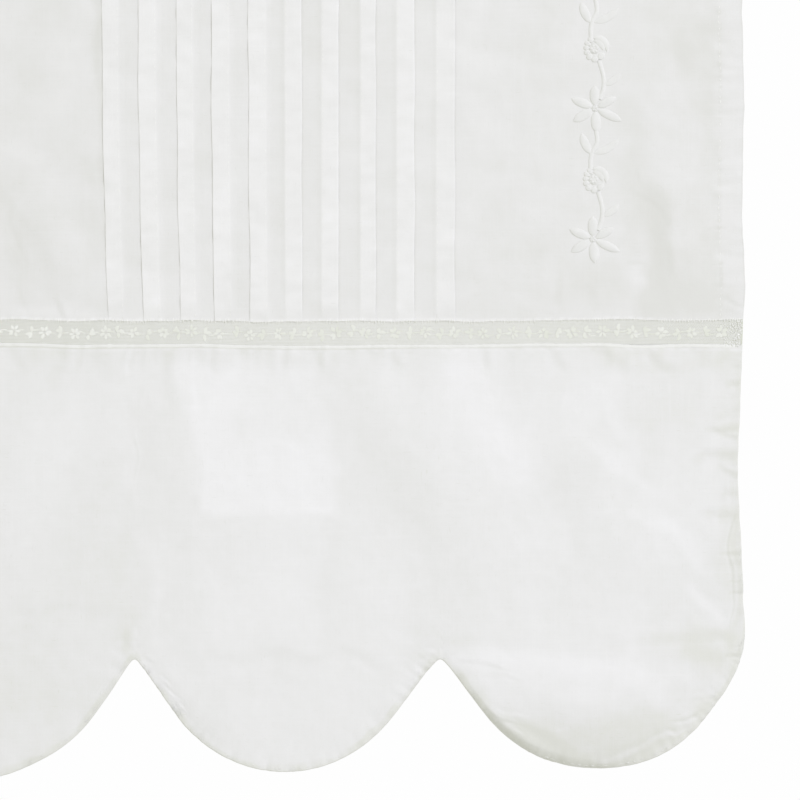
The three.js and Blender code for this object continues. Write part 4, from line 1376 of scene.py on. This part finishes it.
# Half the length of a stitch, and how far in front of the net it lies: least and most.
OVERCAST_HALF, OVERCAST_FORWARD = (0.4, 0.9), (0.05, 0.3)
draw = np.random.default_rng(53)
heading_parts = [corded_edge(LACE_FOOT + 0.1, LACE_Y + 0.02, 61)]
for side in (-1, 1):
    for _ in range(OVERCAST_STITCHES):
        from_side = min(OVERCAST_FROM + abs(draw.normal(0, OVERCAST_SPREAD)), OVERCAST_REACH)
        middle = np.array([side * (HALF_WIDTH - from_side), draw.uniform(LACE_FOOT, PANEL_FOOT)])
        turn = draw.uniform(0, np.pi)
        way = np.array([math.cos(turn), math.sin(turn)]) * draw.uniform(*OVERCAST_HALF)
        lies_at = LACE_Y - draw.uniform(*OVERCAST_FORWARD)
        ends = (middle - way, middle + way)
        heading_parts.append(one_stitch(*ends, OVERCAST_WIDTH, OVERCAST_HEIGHT, lies_at))
points, faces = joined(heading_parts)
lace_heading = make_piece("lace_headings", drape(points), faces, heading_thread)

# %% [markdown]
# ## The flounce
# The flounce is two layers of the same cotton, sewn together along the scallops and turned right side out.
# So it is a flat bag: a front and a back sheet that meet in a round edge at the foot. Its outline is the
# scallop curve of the solid, a round foot between straight flanks, with a rounded corner at each side.
# The foot of the right scallop rolls back, and the sewn edge puckers a little all along.

# %% Scallop outline
SCALLOPS = 3
SCALLOP_PITCH = 2 * HALF_WIDTH / SCALLOPS
SCALLOP_RADIUS = 66.0
FLANK_ANGLE = math.radians(54.5)
CORNER_RADIUS = 38.0


def scallop_height(from_middle, outer_side):
    """Height of the scalloped edge above the lowest point, at a place from a scallop's middle."""
    across = np.abs(from_middle)
    half = SCALLOP_PITCH / 2
    foot_half = SCALLOP_RADIUS * math.sin(FLANK_ANGLE)
    flank_start = SCALLOP_RADIUS * (1 - math.cos(FLANK_ANGLE))
    foot = SCALLOP_RADIUS - np.sqrt(SCALLOP_RADIUS**2 - np.minimum(across, foot_half) ** 2)
    flank = flank_start + (across - foot_half) * math.tan(FLANK_ANGLE)
    height = np.where(across < foot_half, foot, flank)
    flank_end = flank_start + (half - foot_half) * math.tan(FLANK_ANGLE)
    corner_reach = CORNER_RADIUS * math.tan((math.pi / 2 - FLANK_ANGLE) / 2)
    in_corner = np.clip(across - (half - CORNER_RADIUS), 0, CORNER_RADIUS)
    corner = flank_end + corner_reach - np.sqrt(CORNER_RADIUS**2 - in_corner**2)
    at_corner = (from_middle * outer_side > 0) & (across > half - corner_reach * math.cos(FLANK_ANGLE))
    return np.where(at_corner, corner, height)


# %% Rolled hem
# Scallop, place from its middle, spread to each side, height above the edge, how far back the edge goes.
HEM_ROLLS = [
    (-1, -45, 45, 18, 2.5),
    (0, -42, 38, 18, 1.7),
    (0, 48, 34, 14, 1.5),
    (1, -4, 62, 34, 8.4),
    (1, -32, 46, 6, 3.4),
    (1, -60, 20, 8, 0.8),
    (1, -44, 17, 7, 2.4),
    (1, -2, 28, 4, 2.0),
    (1, 56, 30, 16, 2.0),
]
# More than 1: a roll turns most sharply close to the edge.
HEM_ROLL_POWER = 1.6


def hem_roll(scallop, from_middle, above_edge):
    back = np.zeros_like(from_middle)
    for which, at, spread, height, far in HEM_ROLLS:
        here = (scallop == which) * bump((from_middle - at) / spread)
        back += here * far * np.clip(1 - above_edge / height, 0, 1) ** HEM_ROLL_POWER
    return back


# %% Columns and edge of the flounce
# Columns of points in the left, middle and right scallop, most where the hem is most puckered.
SCALLOP_COLUMNS = {-1: 80, 0: 134, 1: 158}
# Columns crowd towards a scallop's sides, to this share, and stand close at the sides of the curtain.
CROWDING = 0.45
BY_THE_SIDE = np.array([0.45, 0.3, 0.16, 0.07, 0.02])
CUSP_ROUND, CUSP_REACH = 1.4, 20


def flounce_columns():
    """x across the flounce, with the scallop that each column is in and its place in that scallop."""
    half = SCALLOP_PITCH / 2
    crowded = half - BY_THE_SIDE
    columns = []
    for scallop, count in SCALLOP_COLUMNS.items():
        t = np.linspace(-1, 1, count + 1)
        from_middle = half * ((1 - CROWDING) * t + CROWDING * np.sin(np.pi / 2 * t))
        places = from_middle if scallop == 1 else from_middle[:-1]
        if scallop != 0:
            places = np.sort(np.concatenate([places, scallop * crowded]))
        columns += [(scallop * SCALLOP_PITCH + u, scallop, u) for u in places]
    return np.array(columns)


def flounce_edge(from_middle, scallop):
    """Height of the scalloped edge, with the points between scallops a little rounded."""
    half = SCALLOP_PITCH / 2
    to_cusp = half - np.abs(from_middle)
    outer = from_middle * scallop > 0
    rounded = half - np.sqrt(to_cusp**2 + CUSP_ROUND**2)
    place = np.where(outer, from_middle, np.sign(from_middle) * np.maximum(rounded, 0))
    place = np.where(to_cusp > CUSP_REACH, from_middle, place)
    return -DROP + scallop_height(place, scallop)


def flounce_outline():
    """The columns, and for each the height of the edge, the way along it so far and its slope."""
    x, scallop, from_middle = flounce_columns().T
    edge = flounce_edge(from_middle, scallop)
    travel = np.concatenate([[0], np.cumsum(np.hypot(np.diff(x), np.diff(edge)))])
    return x, scallop, from_middle, edge, travel, np.gradient(edge, x)


def edge_slope(x, edge):
    rise = np.abs(np.diff(edge) / np.diff(x))
    return np.maximum(np.append(rise, rise[-1]), np.insert(rise, 0, rise[0]))


# %% Depth of the flounce
EDGE_BEAD, BEAD_FADE = 0.6, 4
FLOUNCE_PUFF = 0.42
# The flounce starts behind the lace, comes forward in a short neck, and settles further down.
FLOUNCE_HEAD_Y, FLOUNCE_NECK_Y, FLOUNCE_REST_Y = 0.86, 0.74, 0.6
FLOUNCE_NECK, FLOUNCE_EASE = 1.2, 28.0
# Depth of the puckers across the sewn edge and of the pleats under the lace, and how far in each fades.
RIM_PUCKER, RIM_PUCKER_FADE = 1.1, 4
SHORT_PLEATS, SHORT_PLEAT_FADE = 0.45, 8
LONG_PLEATS, LONG_PLEAT_FADE = 0.28, 36


def bead(from_edge):
    """Half the thickness of the flounce: a round bead at the sewn edge, thinner inside."""
    to_middle = EDGE_BEAD - np.minimum(from_edge, EDGE_BEAD)
    round_edge = np.sqrt(np.clip(EDGE_BEAD**2 - to_middle**2, 0, None))
    return round_edge - (EDGE_BEAD - FLOUNCE_PUFF) * ease((from_edge - EDGE_BEAD) / BEAD_FADE)


def flounce_middle_y(x, z, scallop, from_middle, above, from_edge, along):
    below = FLOUNCE_HEAD - z
    neck = (FLOUNCE_NECK_Y - FLOUNCE_HEAD_Y) * ease(below / FLOUNCE_NECK)
    settle = (FLOUNCE_REST_Y - FLOUNCE_NECK_Y) * ease(below / FLOUNCE_EASE)
    y = FLOUNCE_HEAD_Y + neck + settle + hem_roll(scallop, from_middle, above)
    y = y + RIM_PUCKER * wrinkle(along, 0.12 * from_edge, 6, 71) * np.exp(-from_edge / RIM_PUCKER_FADE)
    pleats = SHORT_PLEATS * wrinkle(x, 0.1 * z, 11, 73) * np.exp(-below / SHORT_PLEAT_FADE)
    pleats = pleats + LONG_PLEATS * crumple(x, 0.2 * z, 20, 75) * np.exp(-below / LONG_PLEAT_FADE)
    return y + pleats * ease((below - 0.8) / 4)


# %% Whiteness of the flounce
FLOUNCE_WHITENESS = 0.35
BROAD_PATCHES, SMALL_PATCHES = 0.14, 0.08
# Under the cord: a painted shadow of the cord, by place across, then a white sewn line, then a dull strip
# that fades.
CORD_SHADE_X = [-225, -110, -20, 120, 170, 225]
CORD_SHADE = [1.6, 1.6, 1.1, 1.0, 0.2, 0.2]
CORD_SHADE_BELOW, CORD_SHADE_REACH = 0.8, 0.8
SEWN_LINE_BELOW, SEWN_LINE_REACH = 1.8, 1.2
SEWN_LINE_WHITE = 0.4
STRIP_DULL, STRIP_DULL_WAVER, STRIP_FADE = 0.36, 0.3, 7
# The sewn rim, painted with shade: how wide it is, how much painted shade lies near the edge and over its
# width, and how dark the painted shade in its needle holes is.
RIM_WIDTH, RIM_WIDTH_WAVER = 3.6, 1.3
RIM_SOFT, RIM_SOFT_FADE, RIM_DULL, RIM_BORDER = 0.28, 3.2, 0.46, 1.2
RIM_PATCHY = 0.8
HOLE_SHADE, HOLE_DARK, HOLE_FADE = 0.6, 0.9, 0.9
SIDE_SHADE, SIDE_HOLE_DARK, SIDE_HOLE_FADE = 0.5, 1.2, 0.6


def flounce_tone(x, z):
    """Broad soft patches, and under the lace a painted shadow of the cord, a white sewn line and a duller
    strip.
    """
    patches = BROAD_PATCHES * crumple(x, z, 52, 91) + SMALL_PATCHES * crumple(x, z, 17, 93)
    sewn = SEWN_LINE_WHITE + SEWN_LINE_WHITE * uneven(x, 7, 99)
    strip = STRIP_DULL - STRIP_DULL_WAVER * crumple(x, 0.1 * z, 10, 101, 14)
    sewn_line = sewn * bump((z - LACE_FOOT + SEWN_LINE_BELOW) / SEWN_LINE_REACH)
    patches = patches + sewn_line - strip * np.exp(-(FLOUNCE_HEAD - z) / STRIP_FADE)
    dark = eased(x, CORD_SHADE_X, CORD_SHADE)
    return patches - dark * bump((z - LACE_FOOT + CORD_SHADE_BELOW) / CORD_SHADE_REACH)


def painted_rim_shade(along, from_foot):
    """Painted shade along the sewn rim, uneven, with dark dots of painted shade where the needle went in."""
    patchy = 1 + RIM_PATCHY * uneven(along, 14, 95)
    dots = np.clip(uneven(along, 4.2, 97), 0, None)
    wide = RIM_WIDTH + RIM_WIDTH_WAVER * uneven(along, 20, 103)
    near_edge = RIM_SOFT * np.exp(-from_foot / RIM_SOFT_FADE)
    soft = patchy * (near_edge + RIM_DULL * ease((wide - from_foot) / RIM_BORDER))
    return -soft - (HOLE_SHADE + HOLE_DARK * dots) * np.exp(-from_foot / HOLE_FADE)


def painted_side_shade(x, z, from_side):
    """Painted shade at the very edge of the sides, with the same dots."""
    dots = np.clip(crumple(z, x, 4.4, 105, 12), 0, None)
    return -(SIDE_SHADE + SIDE_HOLE_DARK * dots) * np.exp(-from_side / SIDE_HOLE_FADE)


# %% The two layers of the flounce
FRONT_ROWS, BACK_ROWS = 255, 90
# Rows follow the scalloped edge closely before they spread out.
NEAR_EDGE = np.array([0.0, 0.12, 0.35, 0.7, 1.2, 2.0, 3.2, 4.8])


def flounce_layer(rows, side):
    """Points of the front (side -1) or back layer, row by row from the head down, and their whiteness."""
    x, scallop, from_middle, edge, travel, slope = flounce_outline()
    start = edge + NEAR_EDGE[-1]
    t = np.linspace(0, 1, rows - len(NEAR_EDGE) + 1)[1:]
    z = np.vstack([edge + NEAR_EDGE[:, None], start + (FLOUNCE_HEAD - start) * t[:, None]])[::-1]
    above = z - edge
    along = np.interp(x + slope * above / (1 + slope**2), x, travel)
    wide = [np.broadcast_to(values, z.shape) for values in (x, scallop, from_middle)]
    from_foot = above / np.sqrt(1 + edge_slope(x, edge) ** 2)
    from_side = HALF_WIDTH - np.abs(wide[0])
    from_edge = np.minimum(from_foot, from_side)
    y = flounce_middle_y(wide[0], z, wide[1], wide[2], above, from_edge, along)
    points = np.stack([wide[0], y + side * bead(from_edge), z], axis=2).reshape(-1, 3)
    white = FLOUNCE_WHITENESS + painted_light_and_shade(wide[0], z) + flounce_tone(wide[0], z)
    white = white + painted_rim_shade(along, from_foot) + painted_side_shade(wide[0], z, from_side)
    return points, white.ravel()


def flounce_piece(name, rows, side):
    points, white = flounce_layer(rows, side)
    faces = grid_faces(rows, len(points) // rows)[:, ::-side]
    return make_piece(name, drape(points), faces, cotton, white)


flounce_front = flounce_piece("flounce_front", FRONT_ROWS, -1)
flounce_back = flounce_piece("flounce_back", BACK_ROWS, 1)
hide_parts("scalloped_flounce")

# %% [markdown]
# ## Embroidered sprays
# A spray climbs each side of the panel: daisies with six petals and round roses in turn, with leaves on the
# stem between. It is padded satin stitch, thread laid side by side over a filling, so petals stand up from
# the cloth and their edges are crisp. Each petal is a wide band with a fine ridge for each thread.

# %% Satin stitch
SPRAY_X = {"left": -157.0, "right": 151.4}
SPRAY_FOOT = -337.4
SPRAY_REPEAT = 64.5
SPRAY_DAISIES = 5
THREAD_STEP = 0.36
# Turn in degrees, reach and width of each petal of a daisy.
PETALS = [
    (91, 11.5, 4.9),
    (28, 11.9, 4.2),
    (-25, 14.7, 4.2),
    (-85, 12.1, 4.9),
    (-149, 12.5, 4.7),
    (157, 12.7, 4.4),
]
# How far aside each daisy stands from the line of its spray, from the foot up.
DAISY_ASIDE = [-0.5, 0.6, 0.0, -0.4, 0.2]
# Root x, root up, tip x, tip up, width, bend and height of each leaf.
LEAVES = [
    (4.6, 11.5, 12.6, 17.5, 3.6, -0.08, 0.34),
    (-1.4, 42.0, -6.4, 52.5, 4.2, 0.06, 0.56),
    (-0.6, 42.5, 12.2, 49.5, 3.8, -0.10, 0.32),
]
# Places x, up along each stem.
STEMS = [
    [(2.4, 4.5), (4.2, 10.0), (4.3, 16.0), (2.2, 23.5)],
    [(-1.6, 34.5), (-1.7, 39.5), (-0.8, 43.5), (1.4, 48.0), (0.8, 53.5)],
]
ROSE_UP = 29.5
PETAL_HEIGHT = 0.66
PETAL_ROOT = 1.3
STITCH_BASE = -0.02
RIDGE = 0.045
# How full a petal is across and how quickly it rises at its ends.
LEAF_FULLNESS, LEAF_RISE = 2.7, 0.6


def thread_ridges(count):
    """A fine ridge for each thread across a band."""
    return np.where(np.arange(count) % 2 == 0, RIDGE, -RIDGE)[:, None]


def satin_leaf(root, tip, width, height, bend=0.0):
    count = 2 * int(np.linalg.norm(tip - root) / THREAD_STEP) + 1
    line = bent_line(root, tip, bend, count)
    swell = lens(count, LEAF_FULLNESS)
    return thread_band(line, width * swell, height * swell**LEAF_RISE, STITCH_BASE, thread_ridges(count))


# %% Stems
STEM_POINTS = 44
STEM_WIDTH, STEM_HEIGHT = 2.0, 0.42
STEM_TWIST, TWIST_STEP, TWIST_ACROSS = 0.08, 1.5, 3


def smooth_line(places, count):
    """A smooth line through a few x, z places."""
    places = np.asarray(places, float)
    padded = np.vstack([2 * places[0] - places[1], places, 2 * places[-1] - places[-2]])
    line = np.zeros((count, 2))
    for i, at in enumerate(np.linspace(0, len(places) - 1, count)):
        k = min(int(at), len(places) - 2)
        u = at - k
        a, b, c, d = padded[k : k + 4]
        square, cube = 2 * a - 5 * b + 4 * c - d, 3 * b - a - 3 * c + d
        line[i] = 0.5 * (2 * b + (c - a) * u + square * u**2 + cube * u**3)
    return line


def stem_band(places):
    line = smooth_line(places, STEM_POINTS)
    turn = np.arange(STEM_POINTS)[:, None] * TWIST_STEP
    twist = STEM_TWIST * np.sin(turn + np.linspace(0, TWIST_ACROSS, len(WIDE_ARCH))[None, :])
    return thread_band(line, STEM_WIDTH, STEM_HEIGHT, STITCH_BASE, twist)


# %% Roses and eyes
# First and last turn in degrees, reach from the middle at both, width and height of each petal of a rose.
ROSE_PETALS = [
    (-18, 100, 6.0, 4.8, 3.5, 0.42),
    (-14, 96, 4.1, 3.4, 3.8, 0.37),
    (96, 132, 4.3, 4.1, 3.3, 0.44),
    (126, 162, 4.0, 3.7, 3.3, 0.44),
    (156, 194, 3.6, 3.5, 3.3, 0.44),
    (188, 226, 3.6, 4.0, 3.3, 0.44),
    (220, 258, 4.2, 4.7, 3.3, 0.44),
    (252, 292, 4.8, 4.9, 3.3, 0.44),
    (286, 336, 4.8, 4.6, 3.1, 0.42),
]
ROSE_SCALE, ROSE_LIFT = 1.07, 1.2
ROSE_POINTS = 25
ROSE_FULLNESS, ROSE_RISE = 2.6, 0.5
# Width of the eye, how many knots are on it and how wide each is.
ROSE_EYE = (5.6, 6, 1.5)
DAISY_EYE = (3.6, 5, 1.1)
EYE_HEIGHT, KNOT_HEIGHT, KNOT_UP = 0.36, 0.16, 0.32


def eye(middle, across, count, knot):
    """The eye of a flower: a low round pad with a ring of small knots on it."""
    parts = []
    for pad in (np.array([across / 2, 0]), np.array([0, across / 2])):
        parts.append(one_stitch(middle - pad, middle + pad, across, EYE_HEIGHT, STITCH_BASE))
    half = np.array([knot / 2, 0])
    for turn in 2 * np.pi * np.arange(count) / count:
        place = middle + across / 4 * np.array([math.cos(turn), math.sin(turn)])
        parts.append(one_stitch(place - half, place + half, knot, KNOT_HEIGHT, STITCH_BASE - KNOT_UP))
    return parts


def rose(middle, way):
    parts = []
    for first, last, reach_first, reach_last, width, height in ROSE_PETALS:
        angle = np.radians(np.linspace(first, last, ROSE_POINTS))
        angle = angle if way > 0 else np.pi - angle
        reach = ROSE_SCALE * np.linspace(reach_first, reach_last, ROSE_POINTS)[:, None]
        line = middle + reach * np.column_stack([np.cos(angle), np.sin(angle)])
        swell = lens(ROSE_POINTS, ROSE_FULLNESS)
        lift = ROSE_LIFT * height * swell**ROSE_RISE
        parts.append(thread_band(line, width * swell, lift, STITCH_BASE, thread_ridges(ROSE_POINTS)))
    return parts + eye(middle, *ROSE_EYE)


# %% The two sprays
def spray(side, way):
    """Daisies up one side of the panel, with a rose, two stems and three leaves between each pair."""
    def at(x, up):
        aside = np.interp(k + up / SPRAY_REPEAT, np.arange(SPRAY_DAISIES), DAISY_ASIDE)
        return np.array([SPRAY_X[side] + way * (x + aside), SPRAY_FOOT + k * SPRAY_REPEAT + up])

    parts = []
    for k in range(SPRAY_DAISIES):
        for turn, reach, width in PETALS:
            outwards = direction(turn)
            root, tip = at(*(PETAL_ROOT * outwards)), at(*(reach * outwards))
            parts.append(satin_leaf(root, tip, width, PETAL_HEIGHT))
        parts += eye(at(0, 0), *DAISY_EYE)
        if k == SPRAY_DAISIES - 1:
            break
        parts += rose(at(0, ROSE_UP), way)
        for places in STEMS:
            parts.append(stem_band([at(x, up) for x, up in places]))
        for root_x, root_up, tip_x, tip_up, width, bend, height in LEAVES:
            parts.append(satin_leaf(at(root_x, root_up), at(tip_x, tip_up), width, height, way * bend))
    return joined(parts)


for side, way in (("left", -1), ("right", 1)):
    points, faces = spray(side, way)
    make_piece(f"spray_{side}", drape(points), faces, thread)
    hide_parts(f"embroidered_spray_{side}")

# %% [markdown]
# ## Topstitching of the flounce
# A row of stitches runs about a millimetre and a half inside the scalloped edge, holding the two layers
# flat. It follows the cloth that it lies on.

# %% Flounce topstitching
TOPSTITCH_INSET = 1.6
TOPSTITCH_LENGTH, TOPSTITCH_GAP = 2.4, 1.0
TOPSTITCH_WIDTH, TOPSTITCH_HEIGHT = 0.42, 0.2


def topstitch_line():
    """x, z and depth of the stitching just inside the scalloped edge."""
    x, scallop, from_middle, edge, travel, slope = flounce_outline()
    inset = TOPSTITCH_INSET / np.sqrt(1 + slope**2)
    line_x, line_z = x - slope * inset, edge + inset
    inside = np.full_like(x, TOPSTITCH_INSET)
    middle_y = flounce_middle_y(line_x, line_z, scallop, from_middle, line_z - edge, inside, travel)
    keep = np.abs(line_x) < HALF_WIDTH - TOPSTITCH_INSET
    return np.column_stack([line_x, line_z, middle_y - bead(inside)])[keep]


top_line = topstitch_line()
topstitch = (TOPSTITCH_LENGTH, TOPSTITCH_GAP, TOPSTITCH_WIDTH, TOPSTITCH_HEIGHT)
points, faces = joined(stitches(top_line[:, :2], *topstitch, top_line[:, 2]))
flounce_sewing = make_piece("flounce_stitching", drape(points), faces, thread)

# %% [markdown]
# ## Cut sizes of the sheets
# The size that each piece of cloth was cut to, before it was sewn and hung, is worked out and printed.

# %% Sheets
LACE_CUT = (2 * HALF_WIDTH * MM, (LACE_HEAD - LACE_FOOT) * MM)
flounce_length = FLOUNCE_HEAD + DROP
FLOUNCE_CUT = (2 * HALF_WIDTH * MM, flounce_length * MM)
for name, cut in (("panel", PANEL_CUT), ("lace", LACE_CUT), ("flounce", FLOUNCE_CUT)):
    print(f"{name} cut to {cut[0] / MM:.1f} x {cut[1] / MM:.1f} mm")

# %% [markdown]
# ## Floor, light and camera
# The curtain hangs in a white room with a pale floor. The main lamp stands at the upper right, which draws
# the dark lines beside the folds, and a weaker one behind lights the back. A soft surround fills the rest.
# The surround is white to the eye, but behind the clear ground of the net it is painted as a shaded wall, so
# that the lace looks open.

# %% Floor
FLOOR_Z = -0.78
FLOOR_RADIUS, FLOOR_SIDES = 0.86, 96
FLOOR_DARK, FLOOR_PALE = (0.80, 0.80, 0.79), (0.84, 0.84, 0.83)
bpy.ops.mesh.primitive_circle_add(
    vertices=FLOOR_SIDES, radius=FLOOR_RADIUS, fill_type="NGON", location=(0, 0, FLOOR_Z)
)
floor = bpy.context.object
floor.name = "floor"
floor_paint, nodes, links, shader = new_material("pale_floor")
floor_tone = object_noise(nodes, links, (3, 3, 3), 2)
floor_colour = tones(nodes, links, floor_tone, [(0.3, FLOOR_DARK), (0.7, FLOOR_PALE)])
links.new(floor_colour, shader.inputs["Base Color"])
shader.inputs["Roughness"].default_value = 0.8
floor.data.materials.append(floor_paint)
print("floor at", FLOOR_Z)

# %% Surround
WALL_SEEN = (0.992, 0.992, 0.992)
SHADED_WALL_THROUGH_NET = (0.69, 0.708, 0.596)
SURROUND_LIGHT = (0.636, 0.641, 0.570)
# A colour mix's sockets: factor, first and second colour, and its result.
MIX_FACTOR, MIX_FIRST, MIX_SECOND, MIX_RESULT = 0, 6, 7, 2
world = bpy.data.worlds.new("white_room")
bpy.context.scene.world = world
world.use_nodes = True
nodes, links = world.node_tree.nodes, world.node_tree.links


def colour_mix(factor, first):
    """A mix from a plain colour to a second one, which is still to be set."""
    mix = nodes.new("ShaderNodeMix")
    mix.data_type = "RGBA"
    mix.inputs[MIX_FIRST].default_value = (*first, 1)
    links.new(factor, mix.inputs[MIX_FACTOR])
    return mix


light_path = nodes.new("ShaderNodeLightPath")
through = nodes.new("ShaderNodeMath")
through.operation = "GREATER_THAN"
through.inputs[1].default_value = 0.5
links.new(light_path.outputs["Transparent Depth"], through.inputs[0])
seen = colour_mix(through.outputs[0], WALL_SEEN)
seen.inputs[MIX_SECOND].default_value = (*SHADED_WALL_THROUGH_NET, 1)
room = colour_mix(light_path.outputs["Is Camera Ray"], SURROUND_LIGHT)
links.new(seen.outputs[MIX_RESULT], room.inputs[MIX_SECOND])
links.new(room.outputs[MIX_RESULT], nodes["Background"].inputs["Color"])
print("surround:", world.name)

# %% Lamps
AIM = np.array([0.06, 0.0, -0.42])
LAMP_DISTANCE = 5.0
LAMP_SIZE = 1.6
LAMP_COLOUR = (0.98, 0.965, 1.21)
# Name, direction that the light comes from, and watts.
LAMPS = [
    ("key_lamp", (0.46, -0.76, 0.46), 105),
    ("back_lamp", (-0.55, 0.83, 0.06), 56),
]
for name, comes_from, watts in LAMPS:
    lamp = bpy.data.lights.new(name, "AREA")
    lamp.shape = "DISK"
    lamp.size = LAMP_SIZE
    lamp.energy = watts
    lamp.color = LAMP_COLOUR
    holder = bpy.data.objects.new(name, lamp)
    bpy.context.scene.collection.objects.link(holder)
    comes_from = np.array(comes_from) / np.linalg.norm(comes_from)
    holder.location = AIM + comes_from * LAMP_DISTANCE
    holder.rotation_euler = Vector(comes_from).to_track_quat("Z", "Y").to_euler()
print("lamps:", [name for name, _, _ in LAMPS])

# %% [markdown]
# ## Camera
# The curtain is seen straight on. The width that the picture takes in at the cloth, and the length of the
# lens, give the distance, and the camera stands level with the middle of the picture.

# %% Camera
FRAME_WIDTH = 0.3943
FRAME_MIDDLE = (0.0559, -0.4166)
LENS_MM = 100.0
SENSOR_MM = 36.0
camera_data = bpy.data.cameras.new("camera")
camera_data.lens = LENS_MM
camera_data.sensor_width = SENSOR_MM
camera = bpy.data.objects.new("camera", camera_data)
bpy.context.scene.collection.objects.link(camera)
camera.location = (FRAME_MIDDLE[0], -FRAME_WIDTH * LENS_MM / SENSOR_MM, FRAME_MIDDLE[1])
camera.rotation_euler = (math.pi / 2, 0, 0)
bpy.context.scene.camera = camera
bpy.context.scene.view_settings.view_transform = "Standard"
print("camera at", [round(value, 4) for value in camera.location])

# %% [markdown]
# ## Last
# The scene is brought up to date.

# %% Finish
bpy.context.view_layer.update()
